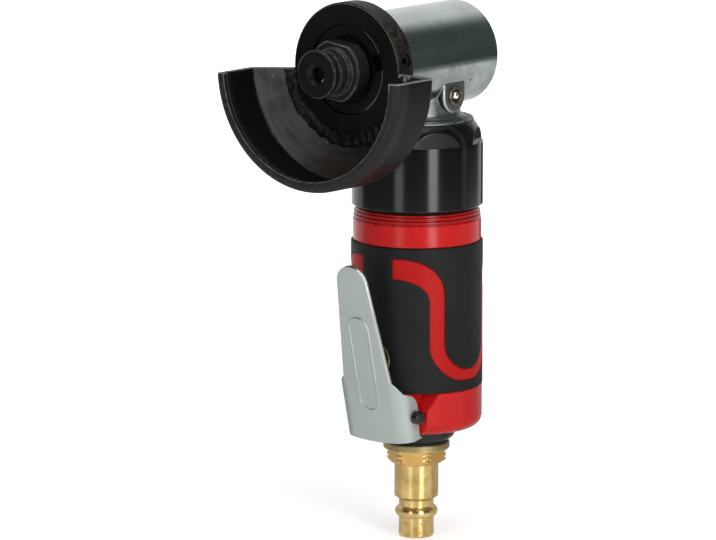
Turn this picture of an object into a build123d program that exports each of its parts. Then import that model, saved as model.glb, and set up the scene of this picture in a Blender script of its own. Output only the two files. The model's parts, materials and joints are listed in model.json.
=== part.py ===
from build123d import *
import os
from math import atan2, cos, hypot, pi, radians, sin, tan

# Mini air angle grinder, in millimetres. Z runs up the handle and the spindle points along -Y.
# The origin is the middle of the open end of the air plug.

# Air plug
NOSE_R = 5.0
NOSE_TOP = 5.8
BEAD_R = 6.1
BEAD_Z = 7.35
NECK_R = 4.95
NECK_Z = 8.95
NECK_TOP = 10.9
SHANK_R = 6.3
SHANK_Z = 11.9
HEX_Z = 21.6
HEX_FLATS = 14.7
HEX_GROOVES = (23.3, 24.7)
HEX_GROOVE_R = 7.85
PLUG_FLANGE_Z = 25.9
PLUG_FLANGE_R = 9.47
PLUG_TOP = 27.75
PLUG_BORE_R = 3.6
PLUG_THREAD_R = 6.5
PLUG_THREAD_TOP = 36.5

# Inlet bushing, exhaust and valve
SEAL_TOP = 28.9
SEAL_R = 9.0
BUSHING_R = 10.9
BUSHING_FOOT_R = 9.2
BUSHING_THREAD_R = 9.5
BUSHING_TOP = 43.9
SCREEN_Z = 38.0
SEAT_R = 8.5
SEAT_Z = 44.0
SEAT_TOP = 46.9
CHAMBER_R = 5.6
CHAMBER_TOP = 57.2
EXHAUST_R = 14.2
EXHAUST_TOP = 36.2
VALVE_R = 4.7
STEM_R = 1.1
STEM_TOP = 56.0

# Motor housing and grip
BASE_Z = 32.7
BASE_R = 18.6
BASE_ROUND = 3.3
SLEEVE_Z = 44.9
SLEEVE_TOP = 86.4
CORE_R = 17.2
GRIP_R = 18.7
BAND_R = 18.15
BAND_TOP = 92.5
BAND_RIDGES = ((93.2, 93.7), (94.3, 94.8))
NOTCH_X = 9.6
NOTCH_Y = -12.6
NOTCH_Z = 39.9
NOTCH_TOP_Y = -9.8
LUG_FRONT = -17.8
LUG_ROUND = 3.5
INLAY_DROP = 0.12
INLAY_GAP = 0.12

# Air motor
MOTOR_FLOOR = 60.0
MOTOR_R = 15.0
REAR_PLATE_TOP = 66.0
LINER_TOP = 95.0
FRONT_PLATE_TOP = 103.1
LINER_BORE_R = 12.0
ECCENTRIC = 1.5
ROTOR_R = 10.4
VANE_COUNT = 4
VANE_T = 1.9

# Clamp collar
COLLAR_Z = 95.6
COLLAR_R = 18.6
COLLAR_TOP = 120.3
COLLAR_LIP_R = 16.1
SHOULDER_Z = 113.4
FLAT_Z = 114.6
FLAT_WIDTH = 34.4
FLAT_TURN = -3.0
THREAD_R = 16.4
CLAMP_Z = 103.25
SPIGOT_Z = 106.2
SPIGOT_R = 13.35

# Angle head, distances along the spindle run forward from the handle axis
SPINDLE_Z = 137.88
HEAD_R = 14.6
HEAD_REAR = -18.6
HEAD_FRONT = 25.2
NOSE_TUBE_R = 12.55
NOSE_TUBE_FRONT = 30.0
NECK_TUBE_R = 12.2
HEAD_FOOT_R = 15.9
BOSS_R = 5.0
BOSS_X = 13.4
BOSS_ROUND = 0.9
BOSS_Z = 128.2
CHAMBER_HEAD_R = 10.0

# Bevel gears
MODULE = 0.8
PINION_TEETH = 14
GEAR_TEETH = 19
FACE_WIDTH = 3.4
ADDENDUM = 0.65
DEDENDUM = 0.9
HALF_TOOTH = 0.50
FLANK_ANGLE = 22.0

# Spindle, flanges and screw
JOURNAL_R = 5.0
LOCK_NUT_FRONT = 31.2
FLANGE_R = 8.7
FLANGE_BACK = 32.5
FLANGE_FRONT = 37.4
WRENCH_FLATS = 15.5
WRENCH_TILT = -8.0
WASHER_R = 6.4
WASHER_BACK = 41.2
WASHER_FRONT = 42.2
PILOT_R = 4.97
SCREW_R = 6.73
SCREW_BACK = 43.4
SCREW_FRONT = 45.1
SCREW_THREAD_R = 3.0
SCREW_TAIL = 33.6

# Guard
RING_R = 18.6
RING_BACK = 25.3
RING_FRONT = 31.93
GUARD_R = 32.3
GUARD_SHEET = 1.6
GUARD_FRONT = 50.0
GUARD_HEEL = 33.6
GUARD_HUB = 30.6
GUARD_LIP = 3.2
GUARD_BEND = 2.0
GUARD_LEFT = 183.2
GUARD_RIGHT = 361.0
SET_SCREW_ANGLE = 11.0
SET_SCREW_S = 28.5

# Lever
LEVER_SHEET = 1.3
LEVER_FRONT = -22.3
LEVER_HALF = 11.4
LEVER_BEND = 4.0
LEVER_Z = 30.5
TONGUE_Z = 46.0
LEVER_LEAN = 13.4
TONGUE_LENGTH = 37.4
TONGUE_ROOT = 8.3
TONGUE_END = 5.1
RIM_LENGTH = 28.6
RIM_WIDTH = 7.3
RIM_LINE = 0.6
RIM_UP = 7.8
PIN_Y = -15.5
PIN_Z = 38.6
PIN_R = 1.5
PIN_HEAD_R = 1.9
PLUNGER_Z = 54.3
PLUNGER_R = 2.2
PLUNGER_REACH = -22.75
BUSH_FACE = -18.8

# Fits
FIT = 0.02
RUN = 0.05
BALL_PLAY = 0.03


def outline(*steps):
    """Closed flat face. A step is a corner (u, v), or an arc ((u, v) on the way, (u, v) at its end)."""
    edges = []
    here = steps[0]
    for step in (*steps[1:], steps[0]):
        if isinstance(step[0], tuple):
            edges.append(ThreePointArc(here, *step))
            here = step[1]
        elif hypot(step[0] - here[0], step[1] - here[1]) > 1e-6:
            edges.append(Line(here, step))
            here = step
    return make_face(edges)


def turned(*steps, arc=360):
    """Solid turned about Z from (radius, height) steps."""
    return revolve(Plane.XZ * outline(*steps), Axis.Z, revolution_arc=arc)


def tube(outer, inner, low, high):
    """Hollow cylinder about Z."""
    return turned((inner, low), (outer, low), (outer, high), (inner, high))


def rod(radius, low, high):
    """Solid cylinder about Z."""
    return Pos(0, 0, (low + high) / 2) * Cylinder(radius, high - low)


def block(x0, x1, y0, y1, z0, z1):
    """Box between two corners."""
    return Pos((x0 + x1) / 2, (y0 + y1) / 2, (z0 + z1) / 2) * Box(x1 - x0, y1 - y0, z1 - z0)


def hexagon(flats, low, high):
    """Hexagonal bar about Z with corners on the Y axis."""
    return Pos(0, 0, low) * extrude(RegularPolygon(flats / 2, 6, major_radius=False, rotation=30), high - low)


def on_spindle(shape):
    """Carry a shape about Z to the spindle axis, with +Z pointing forward along -Y."""
    return Pos(0, 0, SPINDLE_Z) * Rot(90, 0, 0) * shape


def along_plunger(shape):
    """Carry a shape about Z to the plunger axis, with +Z pointing into the handle along +Y."""
    return Pos(0, 0, PLUNGER_Z) * Rot(-90, 0, 0) * shape


def dome(radius, sag, tip, way):
    """Arc step of a round cap from its tip on the axis to its edge, which lies a sag away along the axis."""
    bend = (radius ** 2 + sag ** 2) / (2 * sag)
    half = atan2(radius, bend - sag) / 2
    return (bend * sin(half), tip + way * bend * (1 - cos(half))), (radius, tip + way * sag)


def ball_bearing(bore, outer, low, width):
    """Ball bearing about Z, returned as outer race, inner race, and balls in their cage."""
    pitch = (bore + outer) / 2
    ball = 0.3 * (outer - bore)
    land = 0.55 * ball
    middle = low + width / 2
    track = Pos(0, 0, middle) * Torus(pitch, ball + BALL_PLAY)
    outer_race = tube(outer, pitch + land, low, low + width) - track
    inner_race = tube(pitch - land, bore, low, low + width) - track
    count = int(2 * pi * pitch / (2.7 * ball))
    spots = [Rot(0, 0, 360 * i / count) * Pos(pitch, 0, middle) for i in range(count)]
    cage = tube(pitch + 0.2 * ball, pitch - 0.2 * ball, middle - 1.25 * ball, middle + 1.25 * ball)
    pockets = [spot * Rot(0, 90, 0) * Cylinder(ball + RUN, ball) for spot in spots]
    balls = [spot * Sphere(ball) for spot in spots]
    return outer_race, inner_race, [cage - pockets, *balls]


def bevel_teeth(teeth, mate):
    """Straight bevel teeth about +Z with the cone's apex at the origin, the first one on +X."""
    cone = atan2(teeth, mate)
    reach = MODULE / 2 * hypot(teeth, mate)
    slope = tan(radians(FLANK_ANGLE))
    depth = DEDENDUM + 0.15

    def corners(scale):
        """Four corners of a tooth's end, drawn toward the apex by a scale."""
        places = []
        for height, side in ((-depth, -1), (ADDENDUM, -1), (ADDENDUM, 1), (-depth, 1)):
            radius = reach * sin(cone) + height * cos(cone)
            axial = reach * cos(cone) - height * sin(cone)
            half = HALF_TOOTH - height * slope
            places.append(Vector(radius, side * half, axial) * scale)
        return Face(Wire.make_polygon(places))

    tooth = loft([corners(1.0), corners(1 - FACE_WIDTH / reach)], ruled=True)
    return [Rot(0, 0, 360 * i / teeth) * tooth for i in range(teeth)]


def bevel_gear(teeth, mate, bore, hub_r, hub_end):
    """Bevel gear about +Z with its apex at the origin and its hub running away from the apex."""
    cone = atan2(teeth, mate)
    reach = MODULE / 2 * hypot(teeth, mate)
    small = 1 - FACE_WIDTH / reach
    root_r = reach * sin(cone) - DEDENDUM * cos(cone)
    root_z = reach * cos(cone) + DEDENDUM * sin(cone)
    body = turned(
        (bore, small * root_z), (small * root_r, small * root_z), (root_r, root_z), (root_r, root_z + 1.0),
        (hub_r, root_z + 1.6), (hub_r, hub_end), (bore, hub_end),
    )
    return body + bevel_teeth(teeth, mate)


def air_plug():
    """Quick-coupler nipple: bead, neck, shank, hexagon with nicked corners, flange and thread."""
    body = turned(
        (PLUG_BORE_R, 0), (NOSE_R - 0.7, 0), ((NOSE_R - 0.2, 0.2), (NOSE_R, 0.7)), (NOSE_R, NOSE_TOP),
        ((BEAD_R, BEAD_Z), (NECK_R, NECK_Z)), (NECK_R, NECK_TOP), (SHANK_R, SHANK_Z),
        (SHANK_R, PLUG_FLANGE_Z), (PLUG_FLANGE_R - 0.2, PLUG_FLANGE_Z), (PLUG_FLANGE_R, PLUG_FLANGE_Z + 0.2),
        (PLUG_FLANGE_R, PLUG_TOP - 0.2), (PLUG_FLANGE_R - 0.2, PLUG_TOP), (PLUG_THREAD_R, PLUG_TOP),
        (PLUG_THREAD_R, PLUG_THREAD_TOP), (PLUG_BORE_R, PLUG_THREAD_TOP),
    )
    corner = HEX_FLATS / 3 ** 0.5
    crown = turned(
        (PLUG_BORE_R, HEX_Z), (HEX_FLATS / 2 - 0.4, HEX_Z), (corner, HEX_Z + 1.0),
        (corner, PLUG_FLANGE_Z - 0.5), (corner - 0.7, PLUG_FLANGE_Z), (PLUG_BORE_R, PLUG_FLANGE_Z),
    )
    nut = hexagon(HEX_FLATS, HEX_Z, PLUG_FLANGE_Z) & crown
    nut -= [tube(HEX_FLATS, HEX_GROOVE_R, height - 0.25, height + 0.25) for height in HEX_GROOVES]
    return body + nut


def inlet_bushing():
    """Threaded inlet bushing: rounded foot below the housing, ledge for the screen inside."""
    return turned(
        (PLUG_THREAD_R + RUN, SEAL_TOP), (BUSHING_FOOT_R, SEAL_TOP),
        ((BUSHING_R - 0.45, SEAL_TOP + 0.5), (BUSHING_R, SEAL_TOP + 1.6)),
        (BUSHING_R, BASE_Z - 0.35), (BUSHING_R - 0.3, BASE_Z - 0.05), (BUSHING_THREAD_R, BASE_Z - 0.05),
        (BUSHING_THREAD_R, 41.2), (BUSHING_THREAD_R - 1.0, 41.2), (BUSHING_THREAD_R - 1.0, 42.6),
        (BUSHING_THREAD_R, 42.6), (BUSHING_THREAD_R, BUSHING_TOP), (6.5, BUSHING_TOP),
        (6.5, SCREEN_Z), (5.5, SCREEN_Z), (5.5, PLUG_THREAD_TOP + 0.4),
        (PLUG_THREAD_R + RUN, PLUG_THREAD_TOP + 0.4),
    )


def inlet_screen():
    """Perforated disc that keeps grit out of the valve."""
    disc = rod(6.45, SCREEN_Z + 0.02, SCREEN_Z + 0.6)
    holes = [Pos(0, 0, SCREEN_Z) * Cylinder(0.55, 4)]
    for count, radius in ((6, 1.9), (12, 3.8)):
        hole = Pos(radius, 0, SCREEN_Z) * Cylinder(0.55, 4)
        holes += [Rot(0, 0, 360 * i / count) * hole for i in range(count)]
    return disc - holes


def exhaust_cover():
    """Perforated ring over the silencer, held by the foot of the inlet bushing."""
    ring = tube(EXHAUST_R - RUN, BUSHING_THREAD_R + 0.1, BASE_Z + 0.05, BASE_Z + 1.2)
    slots = [Rot(0, 0, 15 * i) * Pos(12.3, 0, BASE_Z) * Cylinder(0.75, 6) for i in range(24)]
    return ring - slots


def valve_seat():
    """Seat washer with an O-ring groove round it."""
    return turned(
        (2.9, SEAT_Z), (SEAT_R, SEAT_Z), (SEAT_R, 44.9), (SEAT_R - 1.0, 44.9), (SEAT_R - 1.0, 46.2),
        (SEAT_R, 46.2), (SEAT_R, SEAT_TOP), (2.9, SEAT_TOP),
    )


def tip_valve():
    """Tilting valve: spring boss, head and the stem that the plunger pushes."""
    return turned(
        (0, 41.6), (2.2, 41.6), (2.2, 42.7), (VALVE_R, 42.7), (VALVE_R, 43.2), (STEM_R, 43.2),
        (STEM_R, STEM_TOP - 0.4), ((STEM_R - 0.12, STEM_TOP - 0.12), (STEM_R - 0.4, STEM_TOP)), (0, STEM_TOP),
    )


def valve_spring():
    """Helical spring under the valve head, on quarter-turn arcs, with its least gap to itself printed."""
    wire, radius, turns = 0.3, 3.5, 3
    low, high = SCREEN_Z + 0.65 + wire, 42.65 - wire
    steps = int(turns * 4)
    spots = []
    for i in range(2 * steps + 1):
        angle = pi / 4 * i
        spots.append(Vector(radius * cos(angle), radius * sin(angle), low + (high - low) * i / (2 * steps)))
    arcs = [ThreePointArc(*spots[2 * i:2 * i + 3]) for i in range(steps)]
    start = Plane(origin=spots[0], z_dir=arcs[0] % 0)
    coil = sweep(start * Circle(wire), path=Wire(arcs))
    print("valve spring least gap", round((high - low) / turns - 2 * wire, 3), "mm")
    return coil


def motor_housing():
    """Housing: base block with the lever notches, core under the grip, band, threaded neck and air ways."""
    round_z = BASE_Z + BASE_ROUND
    bow = BASE_ROUND * (1 - cos(radians(45)))
    ridges = []
    for i, (low, high) in enumerate(BAND_RIDGES, 1):
        crest = BAND_R - 0.15 * i
        root = crest - 0.3
        ridges += [(root, low - 0.4), (root, low - 0.2), (crest, low), (crest, high)]
    body = turned(
        (0, BASE_Z), (BASE_R - BASE_ROUND, BASE_Z), ((BASE_R - bow, BASE_Z + bow), (BASE_R, round_z)),
        (BASE_R, SLEEVE_Z - 0.3), (BASE_R - 0.3, SLEEVE_Z), (CORE_R, SLEEVE_Z), (CORE_R, SLEEVE_TOP),
        (BAND_R - 0.25, SLEEVE_TOP), (BAND_R, SLEEVE_TOP + 0.25), (BAND_R, BAND_TOP), *ridges,
        (BAND_R - 0.8, BAND_RIDGES[-1][1] + 0.2), (BAND_R - 0.8, COLLAR_Z - 0.1), (THREAD_R, COLLAR_Z - 0.1),
        (THREAD_R, CLAMP_Z - 0.1), (0, CLAMP_Z - 0.1),
    )
    body -= rod(MOTOR_R, MOTOR_FLOOR, CLAMP_Z + 1)
    body -= rod(CHAMBER_R, SEAT_TOP, CHAMBER_TOP)
    body -= rod(SEAT_R + RUN, BASE_Z - 1, SEAT_TOP + RUN)
    body -= rod(BUSHING_THREAD_R + RUN, BASE_Z - 1, SEAT_Z)
    body -= rod(EXHAUST_R, BASE_Z - 1, EXHAUST_TOP)
    body -= [Rot(0, 0, 30 + 120 * i) * Pos(3.4, 0, CHAMBER_TOP) * Cylinder(1.7, 8) for i in range(3)]
    body -= Pos(0, 12.2, 46) * Cylinder(2.3, 24)
    body -= block(-4, 4, 11, 16.1, 54, MOTOR_FLOOR)
    body -= block(-4, 4, 11, 16.1, MOTOR_FLOOR - 1, 92)
    notch = outline(
        (-30, BASE_Z - 1), (NOTCH_Y, BASE_Z - 1), (NOTCH_Y, NOTCH_Z), (NOTCH_TOP_Y, SLEEVE_Z),
        (-30, SLEEVE_Z),
    )
    body -= extrude(Plane.YZ.offset(NOTCH_X) * notch, 20)
    body -= extrude(Plane.YZ.offset(-NOTCH_X) * notch, -20)
    body -= block(-NOTCH_X, NOTCH_X, -30, LUG_FRONT, BASE_Z - 1, SLEEVE_Z)
    body += lever_lug()
    body -= Pos(0, PIN_Y, PIN_Z) * Rot(0, 90, 0) * Cylinder(PIN_R + FIT, 60)
    body -= along_plunger(rod(4.0 + FIT, -20, -11.4))
    body -= along_plunger(rod(PLUNGER_R + 0.35, -12, 0))
    body -= along_plunger(rod(5.0, -20, -16.6))
    return body


def lever_lug():
    """Lug between the lever's ears that carries its pin, drawn back at the foot of the leaning lever."""
    back = -10.6
    plan = Pos(0, LUG_FRONT) * Rectangle(2 * NOTCH_X, back - LUG_FRONT, align=(Align.CENTER, Align.MIN))
    plan = fillet(plan.vertices().sort_by(Axis.Y)[:2], LUG_ROUND)
    side = outline(
        (back, EXHAUST_TOP), (-14.6, EXHAUST_TOP), (-14.9, BASE_Z + 0.6), (LUG_FRONT + 1.4, BASE_Z + 0.6),
        (LUG_FRONT, PIN_Z), (LUG_FRONT, SLEEVE_Z), (back, SLEEVE_Z),
    )
    return extrude(Pos(0, 0, BASE_Z) * plan, SLEEVE_Z - BASE_Z) & extrude(Plane.YZ.offset(-20) * side, 40)


def inlay_strip(grow):
    """Strip on the +X side of the grip: in from the front, down, round and up, then out to the back."""
    mirrored = []
    for side in (-1, 1):
        def at(azimuth, height, sign=side):
            """Point of the side view at an azimuth from the lever's plane."""
            return (-sign * GRIP_R * cos(radians(azimuth)), height)

        mirrored.append(outline(
            at(4, 77.5 - grow), at(22, 77.5 - grow), (at(42, 75.4 - grow), at(49.5 - grow * 3, 70.0)),
            at(49.5 - grow * 3, 58.5), (at(60, 51.4 - grow), at(90, 47.9 - grow)), at(90, 51.1 + grow),
            (at(71, 53.6 + grow), at(63.5 + grow * 3, 59.5)), at(63.5 + grow * 3, 73.0),
            (at(51, 80.8 + grow), at(29, 83.4 + grow)), at(4, 83.4 + grow),
        ))
    start = GRIP_R * sin(radians(15.6)) - grow
    bars = [extrude(Plane.YZ.offset(start) * face, 30) for face in mirrored]
    return bars[0] + bars[1]


def grip_shell(outer, low, high):
    """Tube between the housing core and an outer radius, with its outer edges broken."""
    return turned(
        (CORE_R + FIT, low), (outer - 0.35, low), ((outer - 0.1, low + 0.1), (outer, low + 0.35)),
        (outer, high - 0.35), ((outer - 0.1, high - 0.1), (outer - 0.35, high)), (CORE_R + FIT, high),
    )


def grip_sleeve():
    """Rubber sleeve with openings for the two strips and the plunger bush."""
    sleeve = grip_shell(GRIP_R, SLEEVE_Z + RUN, SLEEVE_TOP - RUN)
    strip = inlay_strip(INLAY_GAP)
    return sleeve - strip - mirror(strip, Plane.YZ) - along_plunger(rod(5.0, -25, -10))


def grip_inlays():
    """The two strips, a little below the rubber."""
    shell = tube(GRIP_R - INLAY_DROP, CORE_R + FIT, SLEEVE_Z + 1, SLEEVE_TOP - 1)
    strip = shell & inlay_strip(0)
    return [strip, mirror(strip, Plane.YZ)]


def lever():
    """Bent sheet lever: leaning channel with two ears, tongue in the plane of its face, raised oval rim."""
    lean = radians(LEVER_LEAN)
    face = Plane(origin=(0, LEVER_FRONT, TONGUE_Z), x_dir=(1, 0, 0), z_dir=(0, -cos(lean), -sin(lean)))
    across = Plane(origin=face.origin, x_dir=(1, 0, 0), z_dir=face.y_dir)
    depth = 14.0
    wide = 2 * LEVER_HALF
    outer = Rectangle(wide, depth, align=(Align.CENTER, Align.MIN))
    outer = fillet(outer.vertices().sort_by(Axis.Y)[:2], LEVER_BEND)
    inner = Pos(0, LEVER_SHEET) * Rectangle(wide - 2 * LEVER_SHEET, depth, align=(Align.CENTER, Align.MIN))
    inner = fillet(inner.vertices().sort_by(Axis.Y)[:2], LEVER_BEND - LEVER_SHEET)
    channel = across * Pos(0, 0, -20) * extrude(outer - inner, 26)
    lobe = 2.4
    side = outline(
        (-30, LEVER_Z - 2), (-19.0, LEVER_Z - 2), (-17.4, LEVER_Z + 0.7), (-12.4, 32.0),
        ((-12.1, 32.15), (-12.35, 32.45)), (-13.05, 32.65), (-13.25, 33.8), (PIN_Y + 2.0, PIN_Z - 1.5),
        ((PIN_Y + lobe, PIN_Z), (PIN_Y + 1.7, PIN_Z + 1.7)), (-14.2, 41.7), ((-15.7, 44.0), (-18.4, 45.2)),
        (-20.1, 45.8), (-21.2, 47.0), (-23.0, 49.2), (-30, 49.6),
    )
    front = outline(
        (-LEVER_HALF, LEVER_Z + 1.0), ((0, LEVER_Z), (LEVER_HALF, LEVER_Z + 1.0)), (LEVER_HALF, 60),
        (-LEVER_HALF, 60),
    )
    foot = channel & extrude(Plane.YZ.offset(-20) * side, 40) & extrude(Plane.XZ * front, 40)
    crown = TONGUE_LENGTH - TONGUE_END
    shape = outline(
        (-LEVER_HALF + LEVER_BEND, -2.0), (LEVER_HALF - LEVER_BEND, -2.0), (TONGUE_ROOT, 1.8),
        (TONGUE_END, crown), ((0, TONGUE_LENGTH), (-TONGUE_END, crown)), (-TONGUE_ROOT, 1.8),
    )
    tongue = extrude(face * shape, -LEVER_SHEET)
    hollow = SlotOverall(RIM_LENGTH - 2 * RIM_LINE, RIM_WIDTH - 2 * RIM_LINE)
    oval = SlotOverall(RIM_LENGTH, RIM_WIDTH) - hollow
    rim = extrude(face * Pos(0, RIM_UP) * Rot(0, 0, 90) * oval, 0.25)
    holes = Pos(0, PIN_Y, PIN_Z) * Rot(0, 90, 0) * Cylinder(PIN_R + RUN, 60)
    return foot + tongue + rim - holes


def lever_pin():
    """Lever pin with a domed head on the +X side and a plain end on the other."""
    reach = LEVER_HALF + 0.25
    tip = reach + 2.2
    pin = turned(
        (0, -reach), (PIN_R - 0.3, -reach), (PIN_R, 0.3 - reach), (PIN_R, reach), (PIN_HEAD_R, reach),
        (PIN_HEAD_R, tip - 0.9), ((PIN_HEAD_R - 0.15, tip - 0.3), (PIN_HEAD_R - 0.6, tip)), (0, tip),
    )
    return Pos(0, PIN_Y, PIN_Z) * Rot(0, 90, 0) * pin


def plunger_bush():
    """Brass guide for the plunger, with a flange that stands just proud of the grip's face."""
    return along_plunger(turned(
        (PLUNGER_R + RUN, BUSH_FACE), (4.5, BUSH_FACE), (4.8, BUSH_FACE + 0.3), (4.8, -16.65), (4.0, -16.65),
        (4.0, -11.5), (PLUNGER_R + RUN, -11.5),
    ))


def plunger():
    """Pin from the lever to the valve stem, with an O-ring groove."""
    tip = -1.4
    mid, edge = dome(0.9, 0.7, tip, -1)
    return along_plunger(turned(
        (0, PLUNGER_REACH), dome(PLUNGER_R, 1.0, PLUNGER_REACH, 1), (PLUNGER_R, -15.4),
        (PLUNGER_R - 0.6, -15.4), (PLUNGER_R - 0.6, -14.3), (PLUNGER_R, -14.3), (PLUNGER_R, -5.0),
        (0.9, -3.4), edge, (mid, (0, tip)),
    ))


def rear_end_plate():
    """Rear plate of the air motor: bearing pocket, inlet ports and the groove that feeds them."""
    plate = tube(MOTOR_R - RUN, 3.2, MOTOR_FLOOR + RUN, REAR_PLATE_TOP)
    plate -= rod(8.0 + FIT, MOTOR_FLOOR - 1, MOTOR_FLOOR + 5.1)
    for angle in (205, 220, 235):
        plate -= Rot(0, 0, angle) * Pos(11.2, 0, 63) * Cylinder(1.2, 10)
        plate -= Rot(0, 0, angle) * block(7, 11.2, -0.8, 0.8, MOTOR_FLOOR - 1, MOTOR_FLOOR + 1.4)
    return plate - dowel_holes()


def front_end_plate():
    """Front plate of the air motor with its bearing pocket."""
    plate = tube(MOTOR_R - RUN, 5.0, LINER_TOP + RUN, FRONT_PLATE_TOP)
    return plate - rod(11.0 + FIT, 96.0, FRONT_PLATE_TOP + 1) - dowel_holes()


def cylinder_liner():
    """Cylinder with an eccentric bore and exhaust slots toward the back."""
    liner = rod(MOTOR_R - RUN, REAR_PLATE_TOP + RUN, LINER_TOP)
    liner -= Pos(ECCENTRIC, 0, 80) * Cylinder(LINER_BORE_R, 40)
    slots = [block(-4, 4, 10, 20, height, height + 1.6) for height in (72, 77, 82, 87)]
    return liner - slots - dowel_holes()


def dowel_holes():
    """Holes for the two dowels that line the end plates up with the liner."""
    return [Pos(-12.8, 0, height) * Cylinder(0.9 + FIT, 7.2) for height in (65.5, 95.0)]


def cylinder_dowels():
    """One dowel at each end of the liner."""
    return [Pos(-12.8, 0, height) * Cylinder(0.9, 6.6) for height in (65.5, 95.0)]


def rotor():
    """Slotted rotor with a rear journal, a front journal and a hexagonal drive end."""
    low, high = REAR_PLATE_TOP + 0.15, LINER_TOP - 0.1
    body = turned(
        (0, 60.4), (2.2, 60.4), (2.48, 60.7), (2.48, low), (ROTOR_R, low), (ROTOR_R, high), (4.0 - FIT, high),
        (4.0 - FIT, 104.1), (0, 104.1),
    )
    body += hexagon(4.9, 104.0, 109.2)
    return body - [vane_slot(i, VANE_T + 0.1, 4.5, ROTOR_R + 1, low - 1, high + 1) for i in range(VANE_COUNT)]


def vane_slot(index, thick, inner, outer, low, high):
    """Upright slab on one side of the rotor."""
    return Rot(0, 0, 45 + 360 * index / VANE_COUNT) * block(inner, outer, -thick / 2, thick / 2, low, high)


def rotor_vanes():
    """Vanes, drawn back flush with the rotor."""
    low, high = REAR_PLATE_TOP + 0.2, LINER_TOP - 0.15
    return [vane_slot(i, VANE_T, 4.7, ROTOR_R - 0.15, low, high) for i in range(VANE_COUNT)]


def clamp_collar():
    """Collar with a domed shoulder, six wrench flats and threads for the housing and the head."""
    rise = COLLAR_TOP - SHOULDER_Z
    inset = COLLAR_R - COLLAR_LIP_R
    bend = (rise ** 2 + inset ** 2) / (2 * inset)
    turn = atan2(rise, bend - inset) / 2
    mid = (COLLAR_R - bend * (1 - cos(turn)), SHOULDER_Z + bend * sin(turn))
    body = turned(
        (THREAD_R + RUN, COLLAR_Z), (COLLAR_R - 1.3, COLLAR_Z), (COLLAR_R, COLLAR_Z + 1.1),
        (COLLAR_R, SHOULDER_Z), (mid, (COLLAR_LIP_R, COLLAR_TOP)), (COLLAR_LIP_R - 0.5, COLLAR_TOP + 0.1),
        (COLLAR_LIP_R - 1.0, COLLAR_TOP), (COLLAR_LIP_R - 1.0, 118.0), (SPIGOT_R + RUN, 118.0),
        (SPIGOT_R + RUN, SPIGOT_Z), (9.6, SPIGOT_Z), (9.6, CLAMP_Z), (THREAD_R + RUN, CLAMP_Z),
    )
    plan = Circle(30) - RegularPolygon(FLAT_WIDTH / 2, 6, major_radius=False, rotation=FLAT_TURN)
    return body - Pos(0, 0, FLAT_Z) * extrude(plan, 20)


def head_housing():
    """Angle head: cylinder, nose, neck on its foot, spigot, lug for the grease fitting and all the bores."""
    cylinder = on_spindle(turned(
        (0, HEAD_REAR), (HEAD_R - 0.7, HEAD_REAR),
        ((HEAD_R - 0.2, HEAD_REAR + 0.2), (HEAD_R, HEAD_REAR + 0.7)),
        (HEAD_R, HEAD_FRONT - 0.4), (HEAD_R - 0.4, HEAD_FRONT), (NOSE_TUBE_R, HEAD_FRONT),
        (NOSE_TUBE_R, NOSE_TUBE_FRONT), (0, NOSE_TUBE_FRONT),
    ))
    foot = COLLAR_TOP + 0.1
    neck = turned(
        (0, SPIGOT_Z + 0.2), (SPIGOT_R, SPIGOT_Z + 0.2), (SPIGOT_R, 118.1), (14.6, 118.1),
        (14.6, foot + 0.12), (HEAD_FOOT_R - 0.2, foot + 0.12), (HEAD_FOOT_R, foot + 0.3),
        (HEAD_FOOT_R, foot + 0.6), (HEAD_FOOT_R - 0.25, foot + 0.8), (14.3, foot + 0.8),
        (14.2, foot + 0.5), (13.9, foot + 0.5), (13.9, foot + 0.9),
        ((12.7, foot + 1.5), (NECK_TUBE_R, foot + 2.7)), (NECK_TUBE_R, SPINDLE_Z - 6), (0, SPINDLE_Z - 6),
    )
    lug = Circle(BOSS_R) + Rectangle(2 * BOSS_R, 12, align=(Align.CENTER, Align.MIN))
    boss = extrude(Plane.YZ * Pos(0, BOSS_Z) * lug, BOSS_X)
    boss = fillet(boss.faces().sort_by(Axis.X)[-1].edges(), BOSS_ROUND)
    body = cylinder + neck + boss
    body -= on_spindle(rod(CHAMBER_HEAD_R, -8.9, 21))
    body -= on_spindle(rod(11.0 + FIT, 20.95, 27.1))
    body -= on_spindle(rod(11.5 + FIT, 27.05, 40))
    body -= on_spindle(rod(7.5 + FIT, -14.0, -8))
    body -= rod(8.0, 112, SPINDLE_Z)
    body -= rod(9.5 + FIT, 100, 116.1)
    body -= rod(10.2, 108.8, 109.9)
    body -= Pos(BOSS_X, 0, BOSS_Z) * Rot(0, 90, 0) * Cylinder(2.3, 14)
    mark = Pos(0, 7.4, SPINDLE_Z) * Rot(0, 90 + 24.8, 0) * Pos(0, 0, HEAD_R) * Cylinder(0.5, 1.6)
    return body - mark


def grease_fitting():
    """Flush grease nipple in the lug."""
    tip = 0.95
    mid, edge = dome(1.1, 0.7, tip, -1)
    return Pos(BOSS_X, 0, BOSS_Z) * Rot(0, 90, 0) * turned(
        (0, -4.5), (2.25, -4.5), (2.25, 0.03), (2.85, 0.03), (2.85, 0.4), (2.65, 0.6), (2.0, 0.6),
        (1.7, 0.1), (1.2, 0.1), edge, (mid, (0, tip)),
    )


def lock_nut():
    """Bearing lock nut with two wrench slots across its face."""
    nut = turned(
        (6.6, 27.15), (11.5, 27.15), (11.5, 30.05), (12.45, 30.05), (12.45, LOCK_NUT_FRONT - 0.25),
        (12.2, LOCK_NUT_FRONT), (9.4, LOCK_NUT_FRONT), (9.1, LOCK_NUT_FRONT - 0.8),
        (6.6, LOCK_NUT_FRONT - 0.8),
    )
    slot = block(9.0, 14, -2.1, 2.1, LOCK_NUT_FRONT - 2.2, 40)
    slots = [Rot(0, 0, angle) * slot for angle in (14, 194)]
    return on_spindle(nut - slots)


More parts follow.
